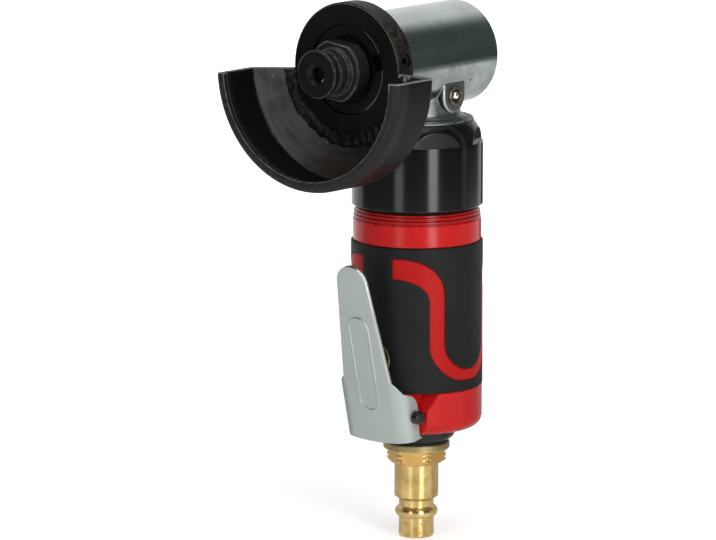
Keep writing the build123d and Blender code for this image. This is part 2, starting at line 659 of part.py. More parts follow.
def spindle():
    """Spindle: rear journal, gear seat, shoulder, front journal and the tapped nose."""
    shaft = turned(
        (0, -13.6), (2.7, -13.6), (3.0 - FIT, -13.3), (3.0 - FIT, 2.2), (3.5 - FIT, 2.2), (3.5 - FIT, 12.05),
        (6.2, 12.05), (6.2, 20.98), (JOURNAL_R - FIT, 20.98), (JOURNAL_R - FIT, WASHER_BACK - 0.2),
        (SCREW_THREAD_R + FIT, WASHER_BACK - 0.2), (SCREW_THREAD_R + FIT, 31.0), (0, 29.5),
    )
    return on_spindle(shaft - key_block(FIT))


def key_block(grow):
    """Key between the spindle and the output gear, grown for its keyways."""
    return block(2.4 - grow, 4.6 + grow, -0.8 - grow, 0.8 + grow, 8.0 - grow, 11.6 + grow)


def output_gear():
    """Bevel gear on the spindle, with a tooth gap facing the pinion."""
    gear = bevel_gear(GEAR_TEETH, PINION_TEETH, 3.5, 6.0, 12.0)
    gear = Rot(0, 0, -90 + 180 / GEAR_TEETH) * gear
    return on_spindle(gear - key_block(FIT))


def bevel_pinion():
    """Pinion with its shaft, driven by the rotor's hexagon, with a tooth facing the gear."""
    gear = bevel_gear(PINION_TEETH, GEAR_TEETH, 0, 5.2, SPINDLE_Z - 116.05)
    gear = Pos(0, 0, SPINDLE_Z) * Rot(180, 0, 0) * Rot(0, 0, 90) * gear
    shaft = rod(4.0 - FIT, 104.4, 117)
    return gear + shaft - hexagon(5.0, 104, 109.6)


def inner_flange():
    """Flange with two wrench flats, its hub through the lock nut and the stepped nose ahead of it."""
    flange = turned(
        (JOURNAL_R, 27.05), (6.2, 27.05), (6.2, FLANGE_BACK), (FLANGE_R - 0.3, FLANGE_BACK),
        (FLANGE_R, FLANGE_BACK + 0.3), (FLANGE_R, FLANGE_FRONT - 0.35), (FLANGE_R - 0.35, FLANGE_FRONT),
        (6.8, FLANGE_FRONT), (6.5, FLANGE_FRONT + 0.3), (6.5, 38.6), (6.2, 38.9), (5.7, 38.9), (5.7, 39.6),
        (6.1, 39.8), (6.1, 40.4), (5.7, 40.6), (5.7, WASHER_BACK), (JOURNAL_R, WASHER_BACK),
    )
    half = WRENCH_FLATS / 2
    waste = [block(-20, 20, half, 20, FLANGE_BACK - 1, FLANGE_FRONT + 1),
             block(-20, 20, -20, -half, FLANGE_BACK - 1, FLANGE_FRONT + 1)]
    return on_spindle(Rot(0, 0, WRENCH_TILT) * (flange - waste))


def clamp_washer():
    """Washer behind the disc with the pilot that centres the disc's bore."""
    return on_spindle(turned(
        (SCREW_THREAD_R + RUN, WASHER_BACK), (WASHER_R - 0.2, WASHER_BACK), (WASHER_R, WASHER_BACK + 0.2),
        (WASHER_R, WASHER_FRONT - 0.2), (WASHER_R - 0.2, WASHER_FRONT), (PILOT_R, WASHER_FRONT),
        (PILOT_R, SCREW_BACK - 0.04), (SCREW_THREAD_R + RUN, SCREW_BACK - 0.04),
    ))


def disc_screw():
    """Flanged screw with a hexagonal socket in a countersink."""
    screw = turned(
        (0, SCREW_TAIL), (SCREW_THREAD_R - 0.4, SCREW_TAIL), (SCREW_THREAD_R, SCREW_TAIL + 0.4),
        (SCREW_THREAD_R, SCREW_BACK), (SCREW_R - 0.25, SCREW_BACK), (SCREW_R, SCREW_BACK + 0.25),
        (SCREW_R, SCREW_FRONT - 0.3), (SCREW_R - 0.3, SCREW_FRONT), (3.2, SCREW_FRONT),
        (2.35, SCREW_FRONT - 0.9), (0, SCREW_FRONT - 0.9),
    )
    return on_spindle(screw - hexagon(4.0, SCREW_FRONT - 3.4, SCREW_FRONT))


def guard_ring():
    """Ring round the nose with a tapped radial hole for the set screw."""
    ring = turned(
        (NOSE_TUBE_R + RUN, RING_BACK), (RING_R - 0.4, RING_BACK), (RING_R, RING_BACK + 0.4),
        (RING_R, RING_FRONT - 0.4), (RING_R - 0.4, RING_FRONT), (NOSE_TUBE_R + RUN, RING_FRONT),
    )
    hole = Rot(0, 0, SET_SCREW_ANGLE) * Pos(15.5, 0, SET_SCREW_S) * Rot(0, 90, 0) * Cylinder(2.0 + FIT, 10)
    return on_spindle(ring - hole)


def guard_set_screw():
    """Grub screw with a hexagonal socket, a little below the rim."""
    screw = rod(2.0, 13.0, RING_R - 0.6) - hexagon(2.0, RING_R - 2.6, RING_R)
    return on_spindle(Rot(0, 0, SET_SCREW_ANGLE) * Pos(0, 0, SET_SCREW_S) * Rot(0, 90, 0) * screw)


def guard_shell():
    """Half pan: dished web from the ring, bend, band and a lip turned in at the front."""
    inner = GUARD_R - GUARD_SHEET
    tight = GUARD_BEND - GUARD_SHEET
    bow = GUARD_BEND * (1 - cos(radians(45)))
    nip = tight * (1 - cos(radians(45)))
    shell = turned(
        (RING_R + FIT, GUARD_HUB), (GUARD_R - GUARD_BEND, GUARD_HEEL),
        ((GUARD_R - bow, GUARD_HEEL + bow), (GUARD_R, GUARD_HEEL + GUARD_BEND)),
        (GUARD_R, GUARD_FRONT - GUARD_BEND),
        ((GUARD_R - bow, GUARD_FRONT - bow), (GUARD_R - GUARD_BEND, GUARD_FRONT)),
        (GUARD_R - GUARD_LIP, GUARD_FRONT), (GUARD_R - GUARD_LIP, GUARD_FRONT - GUARD_SHEET),
        (inner - tight, GUARD_FRONT - GUARD_SHEET),
        ((inner - nip, GUARD_FRONT - GUARD_SHEET - nip), (inner, GUARD_FRONT - GUARD_BEND)),
        (inner, GUARD_HEEL + GUARD_BEND),
        ((inner - nip, GUARD_HEEL + GUARD_SHEET + nip), (inner - tight, GUARD_HEEL + GUARD_SHEET)),
        (RING_R + FIT, GUARD_HUB + GUARD_SHEET), arc=GUARD_RIGHT - GUARD_LEFT,
    )
    return on_spindle(Rot(0, 0, GUARD_LEFT) * shell)


def guard_weld():
    """Weld bead laid round the lower half of the ring, over the edge of the web."""
    start, end = GUARD_LEFT + 3, GUARD_RIGHT - 3
    hub_r = RING_R + FIT
    toe_r = RING_R + 2.9
    slope = (GUARD_HEEL - GUARD_HUB) / (GUARD_R - GUARD_BEND - hub_r)
    web = GUARD_HUB + GUARD_SHEET + RUN
    toe = web + slope * (toe_r - hub_r)
    bead = turned(
        (RING_R - 1.0, RING_FRONT + FIT), (hub_r, RING_FRONT + FIT), (hub_r, web),
        (toe_r, toe), ((RING_R + 1.4, toe + 1.0), (RING_R - 1.0, web + 0.9)), arc=end - start,
    )
    return on_spindle(Rot(0, 0, start) * bead)


def o_ring(groove_r, outer_r, low, high):
    """Square-shouldered O-ring section about Z with rounded outer corners."""
    soft = 0.2
    return turned(
        (groove_r, low), (outer_r - soft, low), ((outer_r - 0.06, low + 0.06), (outer_r, low + soft)),
        (outer_r, high - soft), ((outer_r - 0.06, high - 0.06), (outer_r - soft, high)), (groove_r, high),
    )


def bearings():
    """Nodes of every ball bearing: bore radius, outer radius, low end and width along its own axis."""
    on_handle_axis = {
        "pinion_bearing": (4.0, 9.5, 110.0, 6.0),
        "rotor_front_bearing": (4.0, 11.0, 96.05, 7.0),
        "rotor_rear_bearing": (2.5, 8.0, 60.1, 5.0),
    }
    on_spindle_axis = {
        "spindle_front_bearing": (5.0, 11.0, 21.0, 6.0),
        "spindle_rear_bearing": (3.0, 7.5, -13.95, 5.0),
    }
    made = {}
    for name, size in {**on_handle_axis, **on_spindle_axis}.items():
        outer_race, inner_race, balls = ball_bearing(*size)
        pieces = {"outer_race": [outer_race], "inner_race": [inner_race], "ball_cage": balls}
        for piece, shapes in pieces.items():
            if name in on_spindle_axis:
                shapes = [on_spindle(shape) for shape in shapes]
            made[f"{name}_{piece}"] = shapes
    return made


def nodes():
    """Every node of the tool with its solid or solids."""
    made = {
        "air_plug": air_plug(),
        "plug_seal": tube(SEAL_R, PLUG_THREAD_R + RUN, PLUG_TOP + 0.02, SEAL_TOP - 0.02),
        "inlet_bushing": inlet_bushing(),
        "inlet_oring": o_ring(BUSHING_THREAD_R - 1.0, BUSHING_THREAD_R + 0.03, 41.25, 42.55),
        "inlet_screen": inlet_screen(),
        "exhaust_cover": exhaust_cover(),
        "silencer_felt": tube(EXHAUST_R - 0.1, BUSHING_THREAD_R + 0.2, BASE_Z + 1.25, EXHAUST_TOP - 0.05),
        "valve_spring": valve_spring(),
        "tip_valve": tip_valve(),
        "valve_rubber": tube(VALVE_R - 0.1, STEM_R + 0.01, 43.21, SEAT_Z - 0.04),
        "valve_seat": valve_seat(),
        "seat_oring": o_ring(SEAT_R - 1.0, SEAT_R + 0.03, 44.95, 46.15),
        "motor_housing": motor_housing(),
        "grip_sleeve": grip_sleeve(),
        "grip_inlays": grip_inlays(),
        "throttle_lever": lever(),
        "lever_pin": lever_pin(),
        "plunger_bush": plunger_bush(),
        "valve_plunger": plunger(),
        "plunger_oring": along_plunger(o_ring(PLUNGER_R - 0.6, PLUNGER_R + 0.03, -15.35, -14.35)),
        "rear_end_plate": rear_end_plate(),
        "cylinder_liner": cylinder_liner(),
        "front_end_plate": front_end_plate(),
        "cylinder_dowels": cylinder_dowels(),
        "rotor": rotor(),
        "rotor_vanes": rotor_vanes(),
        "clamp_collar": clamp_collar(),
        "head_housing": head_housing(),
        "pinion_bearing_clip": tube(10.1, 8.7, 108.85, 109.85) - block(0, 20, -2.5, 2.5, 100, 120),
        "grease_fitting": grease_fitting(),
        "bevel_pinion": bevel_pinion(),
        "output_gear": output_gear(),
        "gear_key": on_spindle(key_block(0)),
        "spindle": spindle(),
        "bearing_lock_nut": lock_nut(),
        "inner_flange": inner_flange(),
        "clamp_washer": clamp_washer(),
        "disc_screw": disc_screw(),
        "guard_ring": guard_ring(),
        "guard_set_screw": guard_set_screw(),
        "guard_shell": guard_shell(),
        "guard_weld": guard_weld(),
    }
    made.update(bearings())
    return made


def main():
    """Write one file for each node."""
    os.makedirs("parts", exist_ok=True)
    for name, shape in nodes().items():
        shapes = shape if isinstance(shape, list) else [shape]
        solids = [solid for piece in shapes for solid in piece.solids()]
        export_step(solids[0] if len(solids) == 1 else Compound(children=solids), f"parts/{name}.step")
        print(name, len(solids), "solid(s)", round(sum(s.volume for s in solids), 1), "mm3")


main()
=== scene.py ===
import json
import random
from math import cos, pi, radians, sin, tau

import bmesh
import bpy
from bpy.props import FloatProperty, FloatVectorProperty, IntProperty, PointerProperty
from bpy.types import Operator, Panel, PropertyGroup
from mathutils import Matrix, Vector, noise


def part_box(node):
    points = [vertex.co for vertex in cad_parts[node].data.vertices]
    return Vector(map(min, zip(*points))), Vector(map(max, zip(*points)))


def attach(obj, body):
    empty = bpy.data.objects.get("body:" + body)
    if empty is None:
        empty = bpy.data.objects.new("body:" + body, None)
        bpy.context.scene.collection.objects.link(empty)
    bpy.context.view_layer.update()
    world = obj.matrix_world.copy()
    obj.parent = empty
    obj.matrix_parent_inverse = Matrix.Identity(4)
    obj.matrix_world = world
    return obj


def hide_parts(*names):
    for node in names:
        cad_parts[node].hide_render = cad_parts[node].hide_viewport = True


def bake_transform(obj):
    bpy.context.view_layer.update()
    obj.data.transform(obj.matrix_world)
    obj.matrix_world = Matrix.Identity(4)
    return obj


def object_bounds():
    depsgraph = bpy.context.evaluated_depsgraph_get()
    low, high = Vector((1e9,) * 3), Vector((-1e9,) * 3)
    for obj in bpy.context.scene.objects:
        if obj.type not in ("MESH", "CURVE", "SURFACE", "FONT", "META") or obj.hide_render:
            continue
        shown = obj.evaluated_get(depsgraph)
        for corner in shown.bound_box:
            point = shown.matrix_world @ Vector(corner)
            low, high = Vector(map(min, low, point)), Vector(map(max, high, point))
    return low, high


bl_info = {
    "name": "Mini air angle grinder",
    "version": (1, 0, 0),
    "blender": (4, 5, 0),
    "location": "3D View > Sidebar > Grinder",
    "description": "Gives the grinder its finishes and worked details, and sets it in a small studio",
    "category": "Object",
}

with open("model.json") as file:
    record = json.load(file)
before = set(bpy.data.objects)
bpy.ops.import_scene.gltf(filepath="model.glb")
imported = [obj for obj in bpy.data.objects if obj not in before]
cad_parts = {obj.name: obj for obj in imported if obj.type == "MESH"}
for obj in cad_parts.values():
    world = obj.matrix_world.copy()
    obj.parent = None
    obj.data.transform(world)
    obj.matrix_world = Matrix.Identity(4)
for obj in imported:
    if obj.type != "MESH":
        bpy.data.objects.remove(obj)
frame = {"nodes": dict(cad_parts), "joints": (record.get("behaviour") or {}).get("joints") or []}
CAD_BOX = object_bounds()

# Lengths are in metres in the part's own frame: Z runs up the handle and the spindle points along -Y.
MM = 0.001
SPINDLE_Z = next(joint["pos_m"][2] for joint in frame["joints"] if joint["name"] == "spindle_spin")

# Axes of the part, each as a point on it and the two directions across it marked 1.
SPINDLE = ((0, 0, SPINDLE_Z), (1, 0, 1))
HANDLE = ((0, 0, 0), (1, 1, 0))

# Half the width of a soft border between two finishes.
BLUR = 0.2 * MM

# Heights of the air plug's nut, and of the ridges on the housing under the collar.
PLUG_NUT = (21.6 * MM, 25.9 * MM)
RIDGES = 2.4 * MM

# The lever's sheet, the angle its tongue leans forward, and the tongue's start above the housing's foot.
SHEET = 1.3 * MM
LEAN = radians(13.4)
TONGUE_RISE = 15 * MM

# The lug round the grease fitting: its reach below the fitting's middle and behind the fitting's face.
LUG_DROP = 5.4 * MM
LUG_DEPTH = 2.2 * MM

# The lock nut's two wrench slots: their turn round the spindle, half their width and their depth.
SLOT_TURN = radians(14)
SLOT_HALF = 2.4 * MM
SLOT_DEPTH = 3.5 * MM

# Radius of the steps on the flange's nose, which no wear reaches, and the place of a painted glint at the
# screw's socket.
NOSE_R = 6.15 * MM
SOCKET_GLINT = (1.65 * MM, 0, SPINDLE_Z - 1.4 * MM)

# The guard: depth of the turned-in lip, the radii between which the web bends into the band, and the arc
# that a radian of the web counts as in its streaks, short so that they are drawn out.
LIP_DEPTH = 4 * MM
WEB_BEND = (27 * MM, 30 * MM)
STREAK_ARC = 1.4 * MM

# The weld bead: its angles round the spindle, the shares of its length where ripples set in and are full,
# and the slope of the web under it.
BEAD_START, BEAD_END = radians(184.2), radians(360.6)
RIPPLES_START, RIPPLES_FULL = 0.48, 0.60
WEB_SLOPE = 0.26


def width(node):
    """Width of a CAD node along X."""
    low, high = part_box(node)
    return high.x - low.x


def forward(node):
    """How far a CAD node reaches forward along the spindle: back end, front end."""
    low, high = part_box(node)
    return -high.y, -low.y


def colour(name, description, value):
    """Colour property in linear light."""
    return FloatVectorProperty(
        name=name, description=description, subtype="COLOR", size=3, min=0.0, max=1.0, default=value)


def number(name, description, value, **kind):
    """Number property with a unit or a subtype."""
    return FloatProperty(name=name, description=description, default=value, **kind)


def length(name, description, value):
    """Length property in metres."""
    return number(name, description, value, unit="LENGTH", precision=5)


def level(name, description, value):
    """Property from 0 to 1."""
    return number(name, description, value, subtype="FACTOR", min=0, max=1)


class GrinderColours(PropertyGroup):
    """Colours of the finishes."""
    red: colour("Red housing", "Moulded housing and base", (0.52, 0.0095, 0.0095))
    strip: colour("Red strip", "Strips let into the grip", (0.44, 0.010, 0.008))
    rubber: colour("Rubber", "Grip sleeve and seals", (0.011, 0.0125, 0.0115))
    plate: colour("Plated sheet", "Throttle lever", (0.42, 0.465, 0.44))
    steel: colour("Polished steel", "Angle head", (0.40, 0.445, 0.42))
    oxide: colour("Black oxide", "Guard, ring, flange and screws", (0.0062, 0.0064, 0.0060))
    anodised: colour("Black anodised", "Collar and inlet bushing", (0.0055, 0.0061, 0.0058))
    brass: colour("Brass", "Air plug", (0.65, 0.478, 0.196))
    bronze: colour("Bronze", "Guide of the plunger", (0.16, 0.115, 0.06))
    ground: colour("Ground steel", "Motor, gears, bearings and valve spring", (0.58, 0.58, 0.57))


class GrinderWear(PropertyGroup):
    """How used the tool looks."""
    edge: length("Worn edge", "Width of the rubbed line along an edge", 0.45 * MM)
    scuffs: level("Scuffs", "Strength of fine scratches", 0.5)
    rust: level("Rust", "Brown bloom on the oxide", 0.5)


class GrinderWeld(PropertyGroup):
    """The weld bead between the ring and the guard."""
    reach: length("Reach", "How far the bead spreads over the web from the ring", 2.9 * MM)
    crown: length("Crown", "Height of the bead above the web", 1.1 * MM)
    ripple: length("Ripple", "Distance from one ripple to the next", 2.5 * MM)
    drops: IntProperty(name="Drops", description="Drops of spatter round the bead", default=26, min=0)
    seed: IntProperty(name="Seed", description="Start of the random draws for the spatter", default=7)


class GrinderSpring(PropertyGroup):
    """Sizes of the spring under the valve."""
    wire: length("Wire", "Radius of the spring's wire", 0.3 * MM)
    turns: IntProperty(name="Turns", description="Turns of the coil", default=3, min=1)


class GrinderStudio(PropertyGroup):
    """Camera, floor, cards and lamps."""
    azimuth: number("Azimuth", "Camera's turn from the lever's side", radians(38.66), subtype="ANGLE")
    elevation: number("Elevation", "Camera's height angle", radians(10.47), subtype="ANGLE")
    distance: length("Distance", "Camera to target", 1.3)
    target: FloatVectorProperty(
        name="Target", description="Point at the middle of the picture", subtype="XYZ", unit="LENGTH",
        default=(-13.02 * MM, -10.42 * MM, 77.08 * MM))
    lens: number("Lens", "Focal length in millimetres", 230.7, unit="CAMERA")
    floor: colour("Floor", "Pale floor", (0.80, 0.80, 0.80))
    floor_glow: level("Floor glow", "Glow of the floor near the tool", 0.52)
    plug_shade: level("Plug shade", "Glow that the mirrored floor behind the plug lacks", 0.36)
    front_flag: colour("Front flag", "Dark card round the camera's side", (0.016, 0.020, 0.020))
    back_flag: colour("Back flag", "Dark card behind the tool at the right", (0.070, 0.092, 0.093))
    plug_card: colour("Plug card", "Low grey cards at both sides of the plug", (0.52, 0.52, 0.52))
    ambient: level("Ambient", "Level of the even light all round", 0.2)
    overhead: number("Overhead", "Large soft lamp above", 6.2, unit="POWER")
    right_strip: number("Right strip", "Upright lamp at the right", 1.3, unit="POWER")
    left_strip: number("Left strip", "Upright lamp at the left", 0.42, unit="POWER")
    back_fill: number("Back fill", "Soft lamp behind, which isn't mirrored", 3.5, unit="POWER")


class Value:
    """An output socket of a look. Arithmetic on it adds Math nodes."""

    def __init__(self, look, socket):
        self.look = look
        self.socket = socket

    def __add__(self, other):
        return self.look.math("ADD", self, other)

    def __radd__(self, other):
        return self.look.math("ADD", other, self)

    def __sub__(self, other):
        return self.look.math("SUBTRACT", self, other)

    def __rsub__(self, other):
        return self.look.math("SUBTRACT", other, self)

    def __mul__(self, other):
        return self.look.math("MULTIPLY", self, other)

    def __rmul__(self, other):
        return self.look.math("MULTIPLY", other, self)


class Look:
    """The nodes of a material or a world under construction."""

    SOCKETS = {
        "colour": "Base Color", "roughness": "Roughness", "metallic": "Metallic", "normal": "Normal",
        "alpha": "Alpha", "glow": "Emission Color", "glow_strength": "Emission Strength",
        "gloss": "Specular IOR Level", "coat": "Coat Weight", "coat_roughness": "Coat Roughness",
        "sheen": "Sheen Weight", "brushed": "Anisotropic", "brush_turn": "Anisotropic Rotation"}

    def __init__(self, owner, shader="Principled BSDF"):
        owner.use_nodes = True
        self.owner = owner
        self.tree = owner.node_tree
        self.shader = self.tree.nodes[shader]
        self.wear = bpy.context.scene.grinder_wear

    def feed(self, socket, value):
        """Link a value to a socket, or set the socket to a number, colour or vector."""
        if isinstance(value, Value):
            self.tree.links.new(value.socket, socket)
        elif socket.type == "RGBA" and len(value) == 3:
            socket.default_value = (*value, 1.0)
        else:
            socket.default_value = value

    def node(self, kind, settings=None, inputs=None, output=0):
        """Add any node: settings first, then its sockets. Returns one of its outputs."""
        made = self.tree.nodes.new(kind)
        for name, value in (settings or {}).items():
            setattr(made, name, value)
        for key, value in (inputs or {}).items():
            self.feed(made.inputs[key], value)
        return Value(self, made.outputs[output])

    def math(self, operation, first, second=0.0):
        """One Math node."""
        return self.node("ShaderNodeMath", {"operation": operation}, {0: first, 1: second})

    def vector(self, operation, first, second=(0, 0, 0), output=0):
        """One Vector Math node."""
        return self.node("ShaderNodeVectorMath", {"operation": operation}, {0: first, 1: second}, output)

    def place(self, stretch=(1, 1, 1)):
        """Place on the part, in metres, stretched along each axis."""
        point = self.node("ShaderNodeTexCoord", output="Object")
        return self.node("ShaderNodeMapping", None, {"Vector": point, "Scale": stretch})

    def axis(self, name):
        """One coordinate of the place on the part."""
        return self.node("ShaderNodeSeparateXYZ", None, {0: self.place()}, name)

    def toward(self, way):
        """Distance from the origin along a way."""
        return self.vector("DOT_PRODUCT", self.place(), way, "Value")

    def offset(self, centre, across):
        """Offset from an axis through a centre, along the directions across it marked 1."""
        return self.vector("MULTIPLY", self.vector("SUBTRACT", self.place(), centre), across)

    def radius(self, centre, across):
        """Distance from an axis."""
        return self.vector("LENGTH", self.offset(centre, across), output="Value")

    def facing(self, way):
        """How far the surface faces a way of the part, from -1 to 1."""
        flat = self.node("ShaderNodeTexCoord", output="Normal")
        return self.vector("DOT_PRODUCT", flat, way, "Value")

    def away(self, centre, across):
        """How far the surface faces away from an axis, from -1 to 1."""
        return self.facing(self.vector("NORMALIZE", self.offset(centre, across)))

    def noise(self, per_metre, detail=3.0, stretch=(1, 1, 1), roughness=0.55, point=None):
        """Noise from 0 to 1 with a number of lumps to the metre."""
        return self.node("ShaderNodeTexNoise", None, {
            "Vector": point or self.place(stretch), "Scale": per_metre, "Detail": detail,
            "Roughness": roughness})

    def ramp(self, value, low, high):
        """Smooth step from 0 at low to 1 at high, either way round."""
        return self.node("ShaderNodeMapRange", {"interpolation_type": "SMOOTHSTEP"}, {
            "Value": value, "From Min": low, "From Max": high})

    def along(self, name, low, high):
        """Smooth step along one axis of the part."""
        return self.ramp(self.axis(name), low, high)

    def patches(self, levels, *lumps, **more):
        """Patches of noise: 0 under the first level and 1 over the second."""
        return self.ramp(self.noise(*lumps, **more), *levels)

    def scuffs(self, levels, *lumps):
        """Patches drawn out into scratches, as strong as the wear says."""
        return self.patches(levels, *lumps) * self.wear.scuffs

    def rounded(self, radius):
        """Surface direction with its edges rounded off."""
        return self.node("ShaderNodeBevel", {"samples": 6}, {"Radius": radius}, "Normal")

    def edges(self, radius):
        """Mask that is 1 along edges and 0 on open faces."""
        flat = self.node("ShaderNodeNewGeometry", output="Normal")
        return self.ramp(self.vector("DOT_PRODUCT", self.rounded(radius), flat, "Value"), 0.985, 0.86)

    def edge_lines(self, share=1.0):
        """Edges as wide as the wear says, times a share."""
        return self.edges(self.wear.edge * share)

    def bump(self, height, depth, rounding=None):
        """Surface direction over bumps of a depth in metres and edges of a rounding radius."""
        sockets = {"Height": height, "Distance": depth}
        if rounding:
            sockets["Normal"] = self.rounded(rounding)
        return self.node("ShaderNodeBump", None, sockets, "Normal")

    def mix(self, share, first, second):
        """Mix two colours."""
        return self.node("ShaderNodeMix", {"data_type": "RGBA"}, {0: share, 6: first, 7: second}, 2)

    def vary(self, share, tone, first, second):
        """Mix two shades of one colour."""
        return self.mix(share, shade(tone, first), shade(tone, second))

    def coats(self, base, *coats):
        """Lay coats over a base colour in turn, each a share and a colour."""
        for share, tone in coats:
            base = self.mix(share, base, tone)
        return base

    def close(self, **values):
        """Set or feed the shader's own sockets, and return the material."""
        for name, value in values.items():
            self.feed(self.shader.inputs[self.SOCKETS[name]], value)
        return self.owner


def new_look(name):
    """Start a new material."""
    return Look(bpy.data.materials.new(name))


def shade(tone, share):
    """A colour made darker or lighter by a share."""
    return tuple(min(1.0, part * share) for part in tone)


def tint(tone, *shares):
    """A colour with a share of its own for red, green and blue."""
    return tuple(part * share for part, share in zip(tone, shares))


def gloss_red(name, tone, grime_and_shade):
    """Moulded red plastic: deep gloss, faint flow marks, fine scuffs, edges rubbed and painted a little paler
    as a highlight.

    Painted shade darkens it from a height up under the collar, less so on the crests of the ridges there."""
    look = new_look(name)
    flow = look.noise(55, 2, (1, 1, 0.35))
    scuff = look.scuffs((0.60, 0.74), 700, 5, (1, 1, 0.06))
    dust = look.patches((0.60, 0.80), 2600, 4)
    # Painted shade under the collar, from a height up; the crests of the ridges get less of it.
    painted_collar_shade = look.along("Z", grime_and_shade - MM, grime_and_shade)
    crest = look.ramp(look.away(*HANDLE), 0.80, 0.97)
    # Edges rubbed and painted paler as a highlight, in patches, less where the painted shade lies.
    edge = look.edge_lines() * look.patches((0.40, 0.60), 420, 3) * (1 - painted_collar_shade * 0.85)
    base = look.coats(
        look.vary(flow, tone, 0.92, 1.06),
        (painted_collar_shade * (0.85 - crest * 0.45), shade(tone, 0.30)),
        (edge * 0.55, (0.80, 0.16, 0.13)))
    return look.close(
        gloss=0.17, coat=0.03, coat_roughness=0.06, colour=base,
        roughness=0.18 + flow * 0.08 + scuff * 0.25 + dust * 0.10,
        normal=look.bump(look.noise(1500, 2), 0.012 * MM, 0.35 * MM))


def strip_red(name, tone):
    """Red strip pressed into the rubber: satin, with a fine pressed grain and painted shade along its border.
    """
    look = new_look(name)
    cloud = look.noise(160, 3)
    # Painted shade along the border, where the strip meets the rubber.
    border = look.edges(1.0 * MM)
    base = look.coats(look.vary(cloud, tone, 0.88, 1.08), (border * 0.85, shade(tone, 0.2)))
    return look.close(
        gloss=0.10, colour=base, roughness=0.40 + cloud * 0.12,
        normal=look.bump(look.noise(5200, 3), 0.02 * MM, 0.25 * MM))


def moulded_rubber(name, tone):
    """Charcoal rubber: fine moulded grain, dusty bloom in patches, edges worn paler."""
    look = new_look(name)
    bloom = look.patches((0.35, 0.75), 75, 4)
    grain = look.noise(4200, 4, roughness=0.65)
    specks = look.patches((0.68, 0.76), 2100, 2)
    base = look.coats(
        look.vary(bloom, tone, 0.82, 1.25),
        (look.edge_lines() * 0.5, shade(tone, 2.6)),
        (specks * 0.25, shade(tone, 3.0)))
    return look.close(
        gloss=0.14, colour=base, roughness=0.50 + bloom * 0.14 + grain * 0.06,
        normal=look.bump(grain, 0.045 * MM, 0.4 * MM))


def plated_sheet(name, tone, foot, end):
    """Satin plated sheet: fine tumbled texture, faint rolling lines, clouded plating.

    Above the foot the sheared side has a painted highlight next to the face, brightest near the end, painted
    shade behind that and painted shade over the tip."""
    look = new_look(name)
    cloud = look.noise(110, 4)
    rolled = look.noise(900, 3, (1, 1, 0.04))
    tumbled = look.noise(3800, 4)
    edge = look.edge_lines()
    tongue = look.along("Z", foot, foot + 2 * MM)
    across = look.facing((1, 0, 0))
    lean = Vector((0, cos(LEAN), sin(LEAN)))
    depth = look.toward(lean) - lean.dot(end)
    side = look.ramp(across * across, 0.18, 0.32) * tongue
    # Painted highlight on the tongue's side next to the face, brighter toward the end, and painted shade
    # behind it.
    highlight_band = look.ramp(depth, 1.0 * MM, 0.75 * MM)
    high = look.along("Z", end.z - 16 * MM, end.z - 5 * MM)
    bright = look.mix(high, (0.56, 0.60, 0.57), (0.95, 0.97, 0.95))
    # Painted shade on the tongue's faces turned up and to the left.
    tip = look.ramp(look.facing((-0.45, 0, 0.89)), 0.55, 0.78) * tongue
    ear = look.ramp(across, 0.55, 0.85) * (1 - tongue)
    base = look.coats(
        look.vary(cloud, tone, 0.90, 1.06),
        (edge * 0.1, (0.80, 0.83, 0.81)),
        (side * highlight_band, bright),
        (side * (1 - highlight_band) * 0.85, (0.06, 0.065, 0.06)),
        (tip * 0.9, (0.03, 0.033, 0.03)))
    return look.close(
        metallic=0.92 - cloud * 0.06 - side * 0.7 - ear * 0.45, colour=base,
        roughness=0.42 + cloud * 0.12 - edge * 0.12,
        normal=look.bump(tumbled * 0.7 + rolled * 0.3, 0.03 * MM, 0.3 * MM))


def polished_steel(name, tone, barrel, fitting):
    """Polished steel: fine turning lines, faint smears, edges broken bright.

    Only the barrel of a given radius is bright. Its underside is a little rougher, with patches of painted
    shade, the neck is satin and grimy, and the lug round the grease fitting has a painted highlight on its
    rounded rim."""
    look = new_look(name)
    turning = look.noise(140, 3, (1, 60, 1))
    smear = look.noise(70, 5)
    fine = look.noise(900, 4)
    hair = look.scuffs((0.60, 0.72), 520, 6, (1, 0.12, 1))
    mottle = look.ramp(smear * 0.5 + fine * 0.5, 0.36, 0.64)
    # Painted shade on the underside, in patches.
    under = look.ramp(look.facing((0, 0, 1)), 0.3, -0.1) * look.ramp(smear, 0.2, 0.6)
    satin = look.ramp(look.radius(*SPINDLE), barrel + 0.1 * MM, barrel + 0.5 * MM)
    bottom, back = fitting.z - LUG_DROP, fitting.x - LUG_DEPTH
    lug = look.along("Z", bottom - BLUR, bottom + BLUR) * satin
    lug = lug * look.along("X", back - BLUR, back + BLUR)
    # Painted highlight on the lug's rounded rim, where it turns outward.
    outward = look.facing((1, 0, 0))
    rim = lug * look.ramp(outward, 0.30, 0.55) * look.ramp(outward, 0.98, 0.82)
    # Grime on the satin neck, in patches.
    grime_and_shade = satin * (1 - lug) * look.patches((0.46, 0.62), 330, 5, roughness=0.65)
    dirt = lug * look.ramp(fine, 0.40, 0.62)
    base = look.coats(
        look.vary(mottle, tone, 0.90, 1.11),
        (under * 0.85, shade(tone, 0.38)),
        (satin * (0.6 + smear * 0.4), shade(tone, 0.30)),
        (look.edge_lines() * 0.5, shade(tone, 1.6)),
        (grime_and_shade * 0.7, shade(tone, 0.10)),
        (dirt * 0.4, (0.13, 0.12, 0.10)),
        (rim * 0.8, (0.50, 0.53, 0.50)))
    return look.close(
        metallic=1 - rim * 0.6, colour=base,
        roughness=0.11 + smear * 0.10 + turning * 0.05 + hair * 0.12 + satin * 0.20 + under * 0.05,
        normal=look.bump(turning + fine * 0.6, 0.005 * MM, 0.3 * MM))


